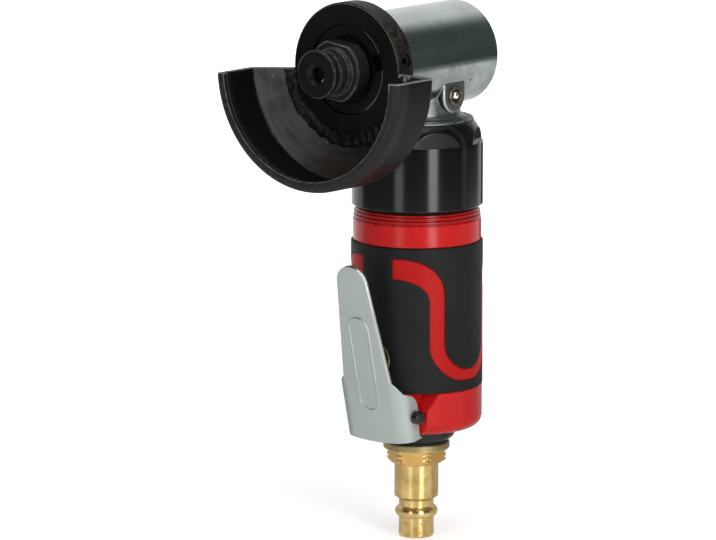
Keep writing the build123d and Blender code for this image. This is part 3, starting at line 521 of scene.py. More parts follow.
def bare_steel(name, tone):
    """Ground steel of the works inside: fine grinding lines and a thin oil film."""
    look = new_look(name)
    film = look.noise(120, 4)
    return look.close(
        metallic=1.0, colour=look.vary(film, tone, 0.85, 1.05), roughness=0.24 + film * 0.14,
        normal=look.bump(look.noise(420, 4, (8, 8, 1)), 0.006 * MM, 0.2 * MM))


def scale_coat(name, tone):
    """Start a blotched black scale with fine scratches: the look, its colour, its blotches."""
    look = new_look(name)
    blotch = look.noise(95, 5)
    scratch = look.scuffs((0.62, 0.74), 430, 6, (1, 0.3, 0.12))
    base = look.coats(look.vary(blotch, tone, 0.5, 1.5), (scratch * 0.3, (0.06, 0.06, 0.058)))
    return look, base, blotch


def rubbed_and_highlit_coat(look, base, edge, metal, roughness, gloss=0.11):
    """Close a black coat that takes a metal's colour on a mask of rubbed edges and painted highlights."""
    return look.close(
        gloss=gloss, metallic=edge * 0.15, colour=look.mix(edge, base, metal),
        roughness=roughness - edge * 0.14,
        normal=look.bump(look.noise(1300, 4), 0.02 * MM, 0.3 * MM))


def black_oxide(name, tone, bare=0.40):
    """Black oxide on the turned pieces: outer edges rubbed bright in places, steps and socket left dark.

    A painted glint sits at the socket's mouth."""
    look, base, blotch = scale_coat(name, tone)
    outside = look.ramp(look.radius(*SPINDLE), NOSE_R, NOSE_R + 0.15 * MM)
    worn = look.patches((0.34, 0.62), 260, 4)
    edge = look.edge_lines(0.6) * outside * (0.25 + worn * 0.75)
    # Painted glint at the socket's mouth.
    socket_glint = look.ramp(look.radius(SOCKET_GLINT, (1, 0, 1)), 0.65 * MM, 0.35 * MM)
    return rubbed_and_highlit_coat(look, base, edge + socket_glint, (bare, bare, bare * 0.95), 0.30 + blotch * 0.14)


def beside_slots(look):
    """Mask that is 1 in line with the lock nut's two wrench slots."""
    way = Vector((-sin(SLOT_TURN), 0, cos(SLOT_TURN)))
    aside = look.toward(way) - SPINDLE_Z * way.z
    return look.ramp(look.math("ABSOLUTE", aside), SLOT_HALF + BLUR, SLOT_HALF - BLUR)


def nut_oxide(name, tone, rim):
    """Black oxide on the lock nut: a painted highlight along its rim's edge, strong at the right, and painted
    shade darkening its wrench slots to black.
    """
    look, base, blotch = scale_coat(name, tone)
    out = look.radius(*SPINDLE)
    bottom = rim - SLOT_DEPTH
    # Painted shade in the wrench slots.
    slot = beside_slots(look) * look.ramp(out, bottom - BLUR, bottom + BLUR)
    base = look.mix(slot, base, shade(tone, 0.1))
    # Painted highlight along the rim's edge, strong at the right and faint at the left.
    arc = look.ramp(out, rim - 0.7 * MM, rim - 0.4 * MM) * (0.1 + look.along("X", 4 * MM, 9 * MM) * 0.9)
    edge = look.edge_lines() * arc * (1 - slot)
    return rubbed_and_highlit_coat(look, base, edge, (0.50, 0.50, 0.47), 0.30 + blotch * 0.14)


def ring_oxide(name, tone, bore, rim, face):
    """Black oxide on the guard's ring: mottled brown bloom on its rim, front edges rubbed bright, and a
    painted highlight on the bore's edge at the right.
    """
    look, scale, blotch = scale_coat(name, tone)
    out = look.radius(*SPINDLE)
    outside = look.ramp(look.away(*SPINDLE), 0.6, 0.9)
    high = look.along("Z", SPINDLE_Z + 1 * MM, SPINDLE_Z + 9 * MM)
    bloom = outside * look.patches((0.46, 0.58), 520, 6, roughness=0.75) * (0.35 + high * 0.65)
    flecks = outside * look.patches((0.60, 0.70), 1100, 4, roughness=0.7) * (0.3 + high * 0.7)
    base = look.coats(
        scale,
        (bloom * look.wear.rust * 1.6, (0.048, 0.032, 0.023)),
        (flecks * 0.6, (0.15, 0.13, 0.11)))
    # Painted highlight on the bore's front edge at the right, except beside the wrench slots.
    inside = look.ramp(out, bore + 1.0 * MM, bore + 0.6 * MM) * look.along("X", 5 * MM, 9 * MM)
    arcs = look.ramp(out, rim - 1.2 * MM, rim - 0.7 * MM) + inside * (1 - beside_slots(look)) * 1.4
    front = arcs * look.along("Y", 0.6 * MM - face, -face)
    edge = look.edge_lines() * front * (0.5 + look.patches((0.35, 0.6), 380, 4) * 0.5)
    return rubbed_and_highlit_coat(look, base, edge, (0.44, 0.43, 0.39), 0.34 + blotch * 0.14 + bloom * 0.2)


def pan_oxide(name, tone, front, top):
    """Black oxide on the guard: web rubbed grey, painted shade inside the band and at the web's right, brown
    at the bottom.

    Its edges are rubbed bright, with painted highlights at the two ends at the top, and the lip at the front
    is mottled. Faces turned up have painted shade."""
    look, scale, blotch = scale_coat(name, tone)
    out = look.radius(*SPINDLE)
    away = look.away(*SPINDLE)
    outside = look.ramp(away, 0.2, 0.6)
    inside = look.ramp(away, -0.3, -0.6)
    faced = look.ramp(look.facing((0, -1, 0)), 0.75, 0.95)
    lip = look.along("Y", LIP_DEPTH + 2 * MM - front, LIP_DEPTH - front)
    web = faced * (1 - lip)
    left = look.along("X", 10 * MM, -14 * MM)
    right = look.along("X", -16 * MM, -9 * MM)
    low = look.along("Z", SPINDLE_Z - 20 * MM, SPINDLE_Z - 29 * MM)
    smudge = look.patches((0.3, 0.7), 130, 5, (0.5, 1, 1), 0.6)
    turn = look.math("ARCTAN2", look.axis("Z") - SPINDLE_Z, look.axis("X"))
    swirl = look.node("ShaderNodeCombineXYZ", None, {0: turn * STREAK_ARC, 1: out})
    streaks = look.patches((0.35, 0.68), 1100, 4, roughness=0.6, point=swirl)
    grey = web * (0.32 + smudge * 0.45 + look.ramp(out, *WEB_BEND) * 0.2 + streaks * 0.2)
    bloom = web * low * right * (0.4 + look.ramp(blotch, 0.34, 0.54) * 0.6)
    base = look.coats(
        scale,
        (outside * look.ramp(blotch, 0.3, 0.7), shade(tone, 1.3)),
        (outside * lip, shade(tone, 2.6)),
        # Painted shade inside the band, lighter toward the lip.
        (inside, look.vary(lip, tone, 0.5, 1.4)),
        # Grey rubbing on the web, kept faint at the right as painted shade.
        (grey * (0.15 + left * 0.85), (0.112, 0.113, 0.108)),
        (bloom * look.wear.rust * 1.7, (0.045, 0.019, 0.012)),
        (faced * lip, shade(tone, 3.0)),
        # Painted shade on faces turned up.
        (look.ramp(look.facing((0, 0, 1)), 0.85, 0.95), shade(tone, 0.5)))
    flecks = look.patches((0.62, 0.74), 620, 5, roughness=0.7) * web
    flecks = flecks * look.ramp(out, 26 * MM, 23 * MM) * left
    mottle = faced * lip * look.patches((0.38, 0.75), 560, 5, roughness=0.6)
    # Painted highlights along the edges at the two ends at the top, over the rubbed edges.
    ends = look.along("Z", top - 3 * MM, top - 1 * MM)
    worn = 0.25 + look.patches((0.34, 0.60), 420, 4) * 0.75
    edge = look.edge_lines(1.5) * (worn * (1 - lip * 0.4) * (1 - ends) + ends)
    metal = look.mix(ends, (0.38, 0.38, 0.36), (0.58, 0.58, 0.55))
    bare = edge * 0.75 + flecks * 0.5 + mottle * 0.04
    return rubbed_and_highlit_coat(look, base, bare, metal, 0.38 + blotch * 0.16, gloss=0.08)


def weld_scale(name, tone):
    """Welding scale: near black with brown tints, rough crust, a few glints."""
    look = new_look(name)
    crust = look.noise(2100, 5, roughness=0.7)
    specks = look.patches((0.70, 0.78), 1500, 2)
    base = look.mix(look.noise(330, 4), shade(tone, 0.3), (0.007, 0.0065, 0.0055))
    base = look.mix(specks * 0.4, base, shade(tone, 6.0))
    return look.close(
        gloss=0.22, metallic=specks * 0.3, colour=base, roughness=0.34 + crust * 0.2,
        normal=look.bump(crust, 0.12 * MM))


def spatter_metal(name):
    """Drops of weld metal with the scale knocked off: dull grey, brighter in places."""
    look = new_look(name)
    cloud = look.noise(900, 4)
    base = look.mix(cloud, (0.05, 0.047, 0.042), (0.34, 0.34, 0.32))
    return look.close(
        metallic=0.6, colour=base, roughness=0.42 + cloud * 0.15, normal=look.bump(cloud, 0.05 * MM))


def black_anodised(name, tone, gloss=0.24):
    """Black anodised aluminium: smooth gloss, fine turning lines, a few hairlines, edges rubbed grey."""
    look = new_look(name)
    turning = look.noise(150, 3, (1, 1, 55))
    cloud = look.noise(60, 4)
    hair = look.scuffs((0.63, 0.74), 650, 6, (1, 1, 0.10))
    edge = look.edge_lines() * look.patches((0.35, 0.6), 380, 3)
    base = look.coats(look.vary(cloud, tone, 0.8, 1.25), (edge * 0.55, (0.16, 0.16, 0.155)))
    return look.close(
        gloss=gloss, metallic=edge * 0.6, colour=base,
        roughness=0.11 + cloud * 0.06 + hair * 0.2 + turning * 0.04,
        normal=look.bump(turning, 0.004 * MM, 0.35 * MM))


def turned_brass(name, tone, nut=(1, 1)):
    """Turned brass: lathe lines round the axis, tarnish in patches, small dark pits.

    The nut between two heights is redder, and what is above it is dull. Without heights the nut lies above
    the whole tool."""
    look = new_look(name)
    lathe = look.noise(150, 3, (1, 1, 60))
    tarnish = look.patches((0.40, 0.72), 190, 5)
    spots = look.node("ShaderNodeTexVoronoi", None, {"Vector": look.place(), "Scale": 520}, "Distance")
    pits = look.ramp(spots, 0.16, 0.07) * look.patches((0.50, 0.58), 210, 2)
    height = look.axis("Z")
    foot, head = nut
    warm = look.ramp(height, foot - BLUR, foot + BLUR) * look.ramp(height, head, head - BLUR)
    dull = look.ramp(height, head - BLUR / 2, head + BLUR / 2)
    base = look.coats(
        look.mix(tarnish, shade(tone, 1.06), tint(tone, 0.84, 0.76, 0.66)),
        (warm * 0.8, tint(tone, 1.15, 0.90, 0.66)),
        (dull * 0.9, tint(tone, 0.88, 1.02, 1.3)),
        (pits, (0.06, 0.035, 0.015)),
        (look.edge_lines() * 0.45, (0.80, 0.68, 0.40)))
    return look.close(
        metallic=1.0, brushed=0.8, brush_turn=0.25, colour=base,
        roughness=0.24 + tarnish * 0.10 + lathe * 0.06 + pits * 0.3 + dull * 0.4,
        normal=look.bump(lathe * 0.2 - pits, 0.03 * MM, 0.25 * MM))


def grease_nipple(name, middle):
    """Dull brass rim, a dark ring inside it and a bright ball in the middle."""
    look = new_look(name)
    out = look.radius(middle, (0, 1, 1))
    dirt = look.noise(1400, 4)
    # Grime on the fitting, in patches.
    grime_and_shade = look.patches((0.40, 0.60), 520, 4)
    ring = look.ramp(out, 2.0 * MM, 1.85 * MM)
    ball = look.ramp(out, 1.15 * MM, 1.05 * MM)
    base = look.coats(
        look.mix(look.ramp(dirt, 0.35, 0.65), (0.46, 0.38, 0.24), (0.14, 0.11, 0.07)),
        (grime_and_shade * 0.8, (0.05, 0.043, 0.03)),
        (ring, (0.05, 0.038, 0.022)),
        (ball, (0.85, 0.86, 0.84)))
    return look.close(
        metallic=1.0, colour=base, roughness=0.34 + dirt * 0.15 - ball * 0.2,
        normal=look.bump(dirt, 0.02 * MM, 0.15 * MM))


def pressed_felt(name):
    """Grey silencer felt: matted fibres."""
    look = new_look(name)
    fibre = look.noise(2400, 6, (1, 0.3, 1), 0.7)
    base = look.mix(fibre, (0.16, 0.16, 0.15), (0.42, 0.41, 0.38))
    return look.close(
        gloss=0.2, sheen=0.3, colour=base, roughness=0.85 + fibre * 0.1, normal=look.bump(fibre, 0.2 * MM))


def laminated_resin(name):
    """Brown resin of the rotor's vanes, with cloth layers."""
    look = new_look(name)
    layer = look.noise(1700, 3, (0.3, 3, 0.3))
    base = look.mix(layer, (0.16, 0.09, 0.04), (0.30, 0.19, 0.09))
    return look.close(
        gloss=0.4, colour=base, roughness=0.42 + layer * 0.2, normal=look.bump(layer, 0.02 * MM))


def dress(material, *nodes):
    """Give CAD nodes a material."""
    for node in nodes:
        for slot in frame["nodes"][node].material_slots:
            slot.material = material


def new_object(name, data):
    """Put new data into the scene as an object."""
    made = bpy.data.objects.new(name, data)
    bpy.context.scene.collection.objects.link(made)
    return made


def mesh_object(name, mesh, material):
    """Make an object of one material from a finished bmesh."""
    data = bpy.data.meshes.new(name)
    mesh.to_mesh(data)
    mesh.free()
    data.materials.append(material)
    return new_object(name, data)


def new_piece(name, mesh, material):
    """Make a smooth piece of the tool from a finished bmesh."""
    piece = mesh_object(name, mesh, material)
    piece.data.shade_smooth()
    return piece


def close_tube(mesh, rows):
    """Skin a row of closed slices and cap both ends."""
    count = len(rows[0])
    for near, far in zip(rows, rows[1:]):
        for j in range(count):
            k = (j + 1) % count
            mesh.faces.new((near[j], near[k], far[k], far[j]))
    mesh.faces.new(reversed(rows[0]))
    mesh.faces.new(rows[-1])
    bmesh.ops.recalc_face_normals(mesh, faces=mesh.faces)


def weld_point(ring, sole, radius, turn, lift=0.0):
    """Point over the weld's sole, which is flat on the ring and then slopes with the web."""
    along = sole + max(0.0, radius - ring) * WEB_SLOPE + lift
    return Vector((radius * cos(turn), -along, SPINDLE_Z + radius * sin(turn)))


def uneven(arc, per_metre, row):
    """Rise and fall along the weld, from about -1 to 1. Each row has its own."""
    return noise.noise(Vector((arc * per_metre, row, 0)))


def direction(azimuth, elevation):
    """Unit vector from the object toward an azimuth, measured from -Y toward +X, and an elevation."""
    flat = cos(elevation)
    return Vector((sin(azimuth) * flat, -cos(azimuth) * flat, sin(elevation)))


def aim(made, place, way):
    """Put a camera or a lamp at a place and point it along a way."""
    made.location = place
    made.rotation_mode = "QUATERNION"
    made.rotation_quaternion = way.to_track_quat("-Z", "Y")


def seen(look):
    """1 for rays from the camera and for mirrored and refracted ones."""
    rays = [look.node("ShaderNodeLightPath", output=name)
            for name in ("Is Camera Ray", "Is Glossy Ray", "Is Transmission Ray")]
    return look.ramp(rays[0] + rays[1] + rays[2], 0.0, 1.0)


class GRINDER_OT_air_plug(Operator):
    """Brass on the air plug, screen and valve seat, and the bushing, cover, felt and seals beside them"""
    bl_idname = "grinder.air_plug"
    bl_label = "Air plug and inlet"

    def execute(self, context):
        colours = context.scene.grinder_colours
        plug = turned_brass("turned_brass", colours.brass, PLUG_NUT)
        dress(plug, "air_plug", "inlet_screen", "valve_seat")
        bushing = black_anodised("black_bushing", shade(colours.anodised, 2.6))
        dress(bushing, "inlet_bushing", "exhaust_cover")
        dress(moulded_rubber("seal_rubber", colours.rubber), "plug_seal", "inlet_oring", "seat_oring",
              "plunger_oring", "valve_rubber")
        dress(pressed_felt("silencer_felt"), "silencer_felt")
        return {"FINISHED"}


class GRINDER_OT_housing(Operator):
    """Gloss red on the motor housing"""
    bl_idname = "grinder.housing"
    bl_label = "Motor housing"

    def execute(self, context):
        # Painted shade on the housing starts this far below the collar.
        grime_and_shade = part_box("clamp_collar")[0].z - RIDGES
        dress(gloss_red("gloss_red", context.scene.grinder_colours.red, grime_and_shade), "motor_housing")
        return {"FINISHED"}


class GRINDER_OT_grip(Operator):
    """Rubber on the grip sleeve and satin red on its strips"""
    bl_idname = "grinder.grip"
    bl_label = "Grip"

    def execute(self, context):
        colours = context.scene.grinder_colours
        dress(moulded_rubber("grip_rubber", colours.rubber), "grip_sleeve")
        dress(strip_red("strip_red", colours.strip), "grip_inlays")
        return {"FINISHED"}


class GRINDER_OT_lever(Operator):
    """Plated lever, black pin, and bronze on the plunger, its guide and the valve"""
    bl_idname = "grinder.lever"
    bl_label = "Throttle lever"

    def execute(self, context):
        colours = context.scene.grinder_colours
        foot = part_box("motor_housing")[0].z + TONGUE_RISE
        low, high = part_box("throttle_lever")
        end = Vector((0, low.y, high.z - SHEET * sin(LEAN)))
        dress(plated_sheet("plated_sheet", colours.plate, foot, end), "throttle_lever")
        dress(black_anodised("black_pin", colours.anodised, gloss=0.4), "lever_pin")
        dress(turned_brass("guide_bronze", colours.bronze), "plunger_bush", "valve_plunger", "tip_valve")
        return {"FINISHED"}


class GRINDER_OT_collar(Operator):
    """Black anodised clamp collar"""
    bl_idname = "grinder.collar"
    bl_label = "Clamp collar"

    def execute(self, context):
        dress(black_anodised("black_collar", context.scene.grinder_colours.anodised), "clamp_collar")
        return {"FINISHED"}


class GRINDER_OT_head(Operator):
    """Polished angle head with its grease fitting"""
    bl_idname = "grinder.head"
    bl_label = "Angle head"

    def execute(self, context):
        colours = context.scene.grinder_colours
        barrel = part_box("head_housing")[1].z - SPINDLE_Z
        low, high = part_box("grease_fitting")
        fitting = Vector((high.x, (low.y + high.y) / 2, (low.z + high.z) / 2))
        dress(polished_steel("polished_steel", colours.steel, barrel, fitting), "head_housing")
        dress(grease_nipple("grease_nipple", fitting), "grease_fitting")
        return {"FINISHED"}


class GRINDER_OT_spindle(Operator):
    """Black oxide on the lock nut, spindle, flanges and disc screw"""
    bl_idname = "grinder.spindle"
    bl_label = "Spindle end"

    def execute(self, context):
        tone = context.scene.grinder_colours.oxide
        dress(black_oxide("spindle_oxide", tone), "spindle", "disc_screw")
        dress(nut_oxide("nut_oxide", tone, width("bearing_lock_nut") / 2), "bearing_lock_nut")
        dress(black_oxide("flange_oxide", shade(tone, 2.4), bare=0.75), "inner_flange", "clamp_washer")
        return {"FINISHED"}


class GRINDER_OT_guard(Operator):
    """Black oxide on the guard, its ring and the ring's set screw"""
    bl_idname = "grinder.guard"
    bl_label = "Guard"

    def execute(self, context):
        tone = context.scene.grinder_colours.oxide
        bore, rim = width("bearing_lock_nut") / 2, width("guard_ring") / 2
        ring = ring_oxide("ring_oxide", shade(tone, 0.75), bore, rim, forward("guard_ring")[1])
        dress(ring, "guard_ring", "guard_set_screw")
        front, top = forward("guard_shell")[1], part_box("guard_shell")[1].z
        dress(pan_oxide("guard_oxide", tone, front, top), "guard_shell")
        return {"FINISHED"}


class GRINDER_OT_weld(Operator):
    """Lumpy weld bead round the ring, rippled at the right, with drops of spatter"""
    bl_idname = "grinder.weld"
    bl_label = "Weld bead"

    def execute(self, context):
        sizes = context.scene.grinder_weld
        material = weld_scale("weld_scale", context.scene.grinder_colours.oxide)
        ring = width("guard_ring") / 2
        sole = forward("guard_weld")[0]
        bead = new_piece("weld_bead", self.bead(sizes, ring, sole), material)
        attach(bead, "guard")
        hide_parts("guard_weld")
        grey = spatter_metal("spatter_metal")
        drops = new_piece("weld_spatter", self.spatter(sizes, ring, sole), grey)
        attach(drops, "guard")
        return {"FINISHED"}

    def bead(self, sizes, ring, sole):
        """Closed bead swept round the ring: a rough crown outside and a flat sole inside."""
        steps = 420
        mesh = bmesh.new()
        rows = []
        for i in range(steps + 1):
            points = self.section(sizes, ring, sole, i / steps)
            rows.append([mesh.verts.new(point) for point in points])
        close_tube(mesh, rows)
        return mesh

    def section(self, sizes, ring, sole, share):
        """One slice of the bead: points from the ring's face over the crown to the toe, then the sole."""
        across = 24
        turn = BEAD_START + (BEAD_END - BEAD_START) * share
        arc = turn * ring
        slow, quick = uneven(arc, 210, 3.1), uneven(arc, 520, 7.3)
        rippled = min(1.0, max(0.0, (share - RIPPLES_START) / (RIPPLES_FULL - RIPPLES_START)))
        travel = (arc + 0.5 * MM * slow) / sizes.ripple
        scallop = (0.5 + 0.5 * cos(tau * travel)) * rippled
        spread = 0.90 + 0.34 * slow + 0.22 * quick + 0.25 * rippled
        toe = ring + sizes.reach * spread + 0.3 * MM * scallop
        inner = ring - (0.8 + 0.5 * rippled) * MM + 0.7 * MM * uneven(arc, 260, 9.7)
        # The crown sinks to nothing over a 26th of the bead's length at each end.
        taper = min(1.0, share * 26, (1 - share) * 26) ** 0.5
        lump = 0.62 * uneven(arc, 300, 5.2) * (1 - 0.6 * rippled)
        crown = sizes.crown * (0.88 + lump) * taper
        points = []
        for j in range(across + 1):
            t = j / across
            radius = inner + (toe - inner) * t
            bow = 4 * t * (1 - t)
            wave = 0.5 + 0.5 * cos(tau * (travel - 0.55 * bow))
            ridge = 0.6 * MM * (wave ** 1.6 - 0.5) * taper * rippled
            knob = noise.noise(Vector((arc * 460, radius * 460, 2.0)))
            crust = noise.fractal(Vector((arc * 900, radius * 900, 5.0)), 0.9, 2.0, 3)
            rough = 0.65 * MM * knob * (1 - 0.7 * rippled) + 0.14 * MM * crust
            lift = 0.02 * MM + max(0.0, bow ** 0.6 * (crown + ridge + rough))
            points.append(weld_point(ring, sole, radius, turn, lift))
        for t in (0.66, 0.33):
            points.append(weld_point(ring, sole, inner + (toe - inner) * t, turn))
        return points

    def spatter(self, sizes, ring, sole):
        """Drops along the toe of the bead and at its left start, and lumps where it ends at the right."""
        draw = random.Random(sizes.seed)
        spots = []
        # How many, then the limits of their angle in degrees, distance from the ring and radius in mm.
        for count, spread, degrees, out, size in (
            (sizes.drops, draw.triangular, (186, 300, 232), (2.5, 4.3), (0.09, 0.21)),
            (sizes.drops // 3, draw.uniform, (185, 194), (2.2, 7.0), (0.10, 0.30)),
            (12, draw.uniform, (355.5, 360.6), (0.4, 5.0), (0.35, 0.75)),
        ):
            for _ in range(count):
                turn = radians(spread(*degrees))
                spots.append((turn, ring + draw.uniform(*out) * MM, draw.uniform(*size) * MM))
        mesh = bmesh.new()
        for turn, radius, size in spots:
            place = weld_point(ring, sole, radius, turn, 0.25 * MM)
            flat = Matrix.Diagonal((1.0, draw.uniform(0.5, 0.9), draw.uniform(0.8, 1.3), 1.0))
            bmesh.ops.create_icosphere(
                mesh, subdivisions=2, radius=size, matrix=Matrix.Translation(place) @ flat)
        return mesh


class GRINDER_OT_valve_spring(Operator):
    """Coil spring under the valve head"""
    bl_idname = "grinder.valve_spring"
    bl_label = "Valve spring"

    def execute(self, context):
        low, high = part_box("valve_spring")
        wire = bare_steel("spring_wire", context.scene.grinder_colours.ground)
        coil = self.coil(context.scene.grinder_spring, low, high)
        spring = new_piece("valve_coil", coil, wire)
        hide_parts("valve_spring")
        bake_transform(spring)
        return {"FINISHED"}

    def coil(self, sizes, low, high):
        """One unbroken tube wound up the handle's axis, closed at both ends."""
        sides = 10
        steps = 24 * sizes.turns
        radius = (high.x - low.x) / 2 - sizes.wire
        climb = high.z - low.z - 2 * sizes.wire
        slope = climb / (tau * sizes.turns * radius)
        mesh = bmesh.new()
        rows = []
        for i in range(steps + 1):
            turn = tau * sizes.turns * i / steps
            out = Vector((cos(turn), sin(turn), 0))
            middle = out * radius + Vector((0, 0, low.z + sizes.wire + climb * i / steps))
            up = out.cross(Vector((-out.y, out.x, slope)).normalized())
            spots = [tau * j / sides for j in range(sides)]
            rows.append([mesh.verts.new(middle + (out * cos(spot) + up * sin(spot)) * sizes.wire)
                         for spot in spots])
        close_tube(mesh, rows)
        return mesh


class GRINDER_OT_works(Operator):
    """Ground steel on the air motor, gears and bearings inside, and resin on the vanes"""
    bl_idname = "grinder.works"
    bl_label = "Works inside"

    def execute(self, context):
        steel = bare_steel("ground_steel", context.scene.grinder_colours.ground)
        bearings = [node for node in frame["nodes"] if node.endswith(("_race", "_ball_cage"))]
        dress(steel, "rear_end_plate", "cylinder_liner", "front_end_plate", "cylinder_dowels",
              "rotor", "bevel_pinion", "output_gear", "gear_key", "pinion_bearing_clip", *bearings)
        dress(laminated_resin("laminated_resin"), "rotor_vanes")
        return {"FINISHED"}


class GRINDER_OT_stage(Operator):
    """Camera, pale floor, soft lamps, and cards that are only mirrored"""
    bl_idname = "grinder.stage"
    bl_label = "Studio"

    def execute(self, context):
        studio = context.scene.grinder_studio
        context.scene.view_settings.view_transform = "Standard"
        self.camera(context, studio)
        self.floor(studio)
        self.world(context, studio)
        self.cards(studio)
        self.lamps(studio)
        return {"FINISHED"}

    def camera(self, context, studio):
        """Camera at the viewing angle."""
        data = bpy.data.cameras.new("camera")
        data.lens = studio.lens
        data.clip_start, data.clip_end = 0.01, 100.0
        eye = new_object("camera", data)
        back = direction(studio.azimuth, studio.elevation)
        aim(eye, Vector(studio.target) + back * studio.distance, -back)
        context.scene.camera = eye

    def floor(self, studio):
        """Pale floor under the plug, lifted to white where it is seen or mirrored.

        Mirrored rays find it less bright close behind the plug."""
        mesh = bmesh.new()
        bmesh.ops.create_grid(mesh, x_segments=1, y_segments=1, size=8.0)
        look = new_look("pale_floor")
        base = look.vary(look.noise(3, 2), studio.floor, 0.98, 1.02)
        away = look.ramp(look.radius(*HANDLE), 0.05, 0.7)
        ahead = look.toward(direction(studio.azimuth, 0.0))
        behind = look.ramp(ahead, 10 * MM, -5 * MM) * look.ramp(ahead, -90 * MM, -60 * MM)
        mirrored = look.node("ShaderNodeLightPath", output="Is Glossy Ray")
        lift = seen(look) * (studio.floor_glow + away * (1 - studio.floor_glow))
        lift = lift - mirrored * behind * studio.plug_shade
        material = look.close(
            colour=base, roughness=0.9, gloss=0.0, glow_strength=1.0,
            glow=look.mix(lift, (0, 0, 0), (1, 1, 1)))
        floor = mesh_object("floor", mesh, material)
        floor.location.z = CAD_BOX[0].z

    def world(self, context, studio):
        """Even light all round, white where it is seen or mirrored."""
        look = Look(bpy.data.worlds.new("studio"), "Background")
        sky = look.mix(seen(look), (studio.ambient,) * 3, (1, 1, 1))
        look.feed(look.shader.inputs["Color"], sky)
        context.scene.world = look.owner

    def cards(self, studio):
        """Dark cards behind the tool and round the camera, and low grey ones beside the plug."""
        dark, grey = studio.front_flag, studio.plug_card
        self.card("back_flag", studio.back_flag, turn=(126, 189), fade=(7, 30), reach=0.58, height=1.0)
        self.card("low_flag", dark, turn=(183, 214), fade=(4, 4), reach=0.4, height=0.08)
        self.card("front_flag", dark, turn=(-75, 128), fade=(7, 7), reach=0.52, height=0.9)
        self.card("right_card", grey, turn=(112, 236), fade=(12, 6), reach=0.07, height=0.05)
        self.card("left_card", grey, turn=(-118, -34), fade=(6, 12), reach=0.07, height=0.05)

    def card(self, name, tone, turn, fade, reach, height):
        """Curved card standing on the floor between two azimuths, which only mirrored rays meet.

        It is thin toward its top and fades over an angle at each end. Angles are in degrees."""
        steps = 24
        start, end = (radians(degrees) for degrees in turn)
        mesh = bmesh.new()
        rows = []
        for i in range(steps + 1):
            out = direction(start + (end - start) * i / steps, 0.0) * reach
            rows.append([mesh.verts.new(out + Vector((0, 0, top))) for top in (0.0, height)])
        for near, far in zip(rows, rows[1:]):
            mesh.faces.new((near[0], far[0], far[1], near[1]))
        look = new_look(name)
        # Azimuths are measured from here, so that the jump opposite it lies between the cards.
        middle = radians(60)
        ahead = look.toward(direction(middle, 0.0))
        side = look.toward(direction(middle + pi / 2, 0.0))
        azimuth = look.math("ARCTAN2", side, ahead) + middle
        alpha = look.along("Z", height, height * 0.75)
        alpha = alpha * look.ramp(azimuth, start, start + radians(fade[0]))
        alpha = alpha * look.ramp(azimuth, end, end - radians(fade[1]))
        material = look.close(
            colour=(0, 0, 0), gloss=0.0, alpha=alpha, glow_strength=1.0,
            glow=look.vary(look.noise(2, 2), tone, 0.8, 1.2))
        card = mesh_object(name, mesh, material)
        card.visible_camera = card.visible_diffuse = card.visible_shadow = False

    def lamps(self, studio):
        """Large soft lamps above and behind, and an upright strip at each side of the camera."""
        middle = Vector((0, 0, 0.08))
        above = Vector((0.1, -0.25, 1.35))
        self.lamp("overhead", studio.overhead, size=(1.1, 1.1), place=above, target=middle)
        behind = direction(radians(222), radians(30)) * 1.2
        fill = self.lamp("back_fill", studio.back_fill, size=(0.9, 0.9), place=behind, target=middle)
        fill.visible_glossy = False
        reach, raised = 0.45, Vector((0, 0, 0.17))
        for name, energy, azimuth, size in (
            ("right_strip", studio.right_strip, radians(65.5), (0.12, 0.34)),
            ("left_strip", studio.left_strip, radians(7), (0.11, 0.34)),
        ):
            self.lamp(name, energy, size, direction(azimuth, 0.0) * reach + raised, raised)

    def lamp(self, name, energy, size, place, target):
        """Rectangular lamp that the camera doesn't see."""
        data = bpy.data.lights.new(name, "AREA")
        data.shape = "RECTANGLE"
        data.size, data.size_y = size
        data.energy = energy
        lamp = new_object(name, data)
        aim(lamp, place, target - place)
        lamp.visible_camera = False
        return lamp


OPERATORS = (
    GRINDER_OT_air_plug, GRINDER_OT_housing, GRINDER_OT_grip, GRINDER_OT_lever, GRINDER_OT_collar,
    GRINDER_OT_head, GRINDER_OT_spindle, GRINDER_OT_guard, GRINDER_OT_weld, GRINDER_OT_valve_spring,
    GRINDER_OT_works, GRINDER_OT_stage)
SETTINGS = {
    "grinder_colours": GrinderColours,
    "grinder_wear": GrinderWear,
    "grinder_weld": GrinderWeld,
    "grinder_spring": GrinderSpring,
    "grinder_studio": GrinderStudio,
}


class GRINDER_PT_sidebar(Panel):
    """Settings and steps of the grinder"""
    bl_idname = "GRINDER_PT_sidebar"
    bl_label = "Mini air angle grinder"
    bl_space_type = "VIEW_3D"
    bl_region_type = "UI"
    bl_category = "Grinder"

    def draw(self, context):
        for name, group in SETTINGS.items():
            box = self.layout.box()
            for setting in group.__annotations__:
                box.prop(getattr(context.scene, name), setting)
        for operator in OPERATORS:
            self.layout.operator(operator.bl_idname)


def register():
    """Register the settings, the operators and the panel."""
    for name, group in SETTINGS.items():
        bpy.utils.register_class(group)
        setattr(bpy.types.Scene, name, PointerProperty(type=group))
    for made in (*OPERATORS, GRINDER_PT_sidebar):
        bpy.utils.register_class(made)


def unregister():
    """Take everything out again, last first."""
    for made in reversed((*OPERATORS, GRINDER_PT_sidebar)):
        bpy.utils.unregister_class(made)
    for name, group in reversed(SETTINGS.items()):
        delattr(bpy.types.Scene, name)
        bpy.utils.unregister_class(group)


def main():
    """Build the looks in order."""
    register()
    bpy.ops.grinder.air_plug()
    bpy.ops.grinder.housing()
    bpy.ops.grinder.grip()
    bpy.ops.grinder.lever()
    bpy.ops.grinder.collar()
    bpy.ops.grinder.head()
    bpy.ops.grinder.spindle()
    bpy.ops.grinder.guard()
    bpy.ops.grinder.weld()
    bpy.ops.grinder.valve_spring()
    bpy.ops.grinder.works()
    bpy.ops.grinder.stage()


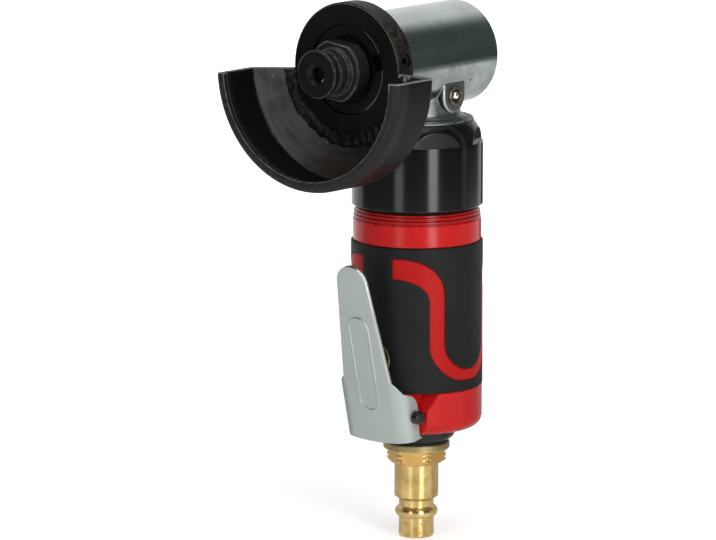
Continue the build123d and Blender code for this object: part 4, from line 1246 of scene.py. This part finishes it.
if __name__ == "__main__":
    main()
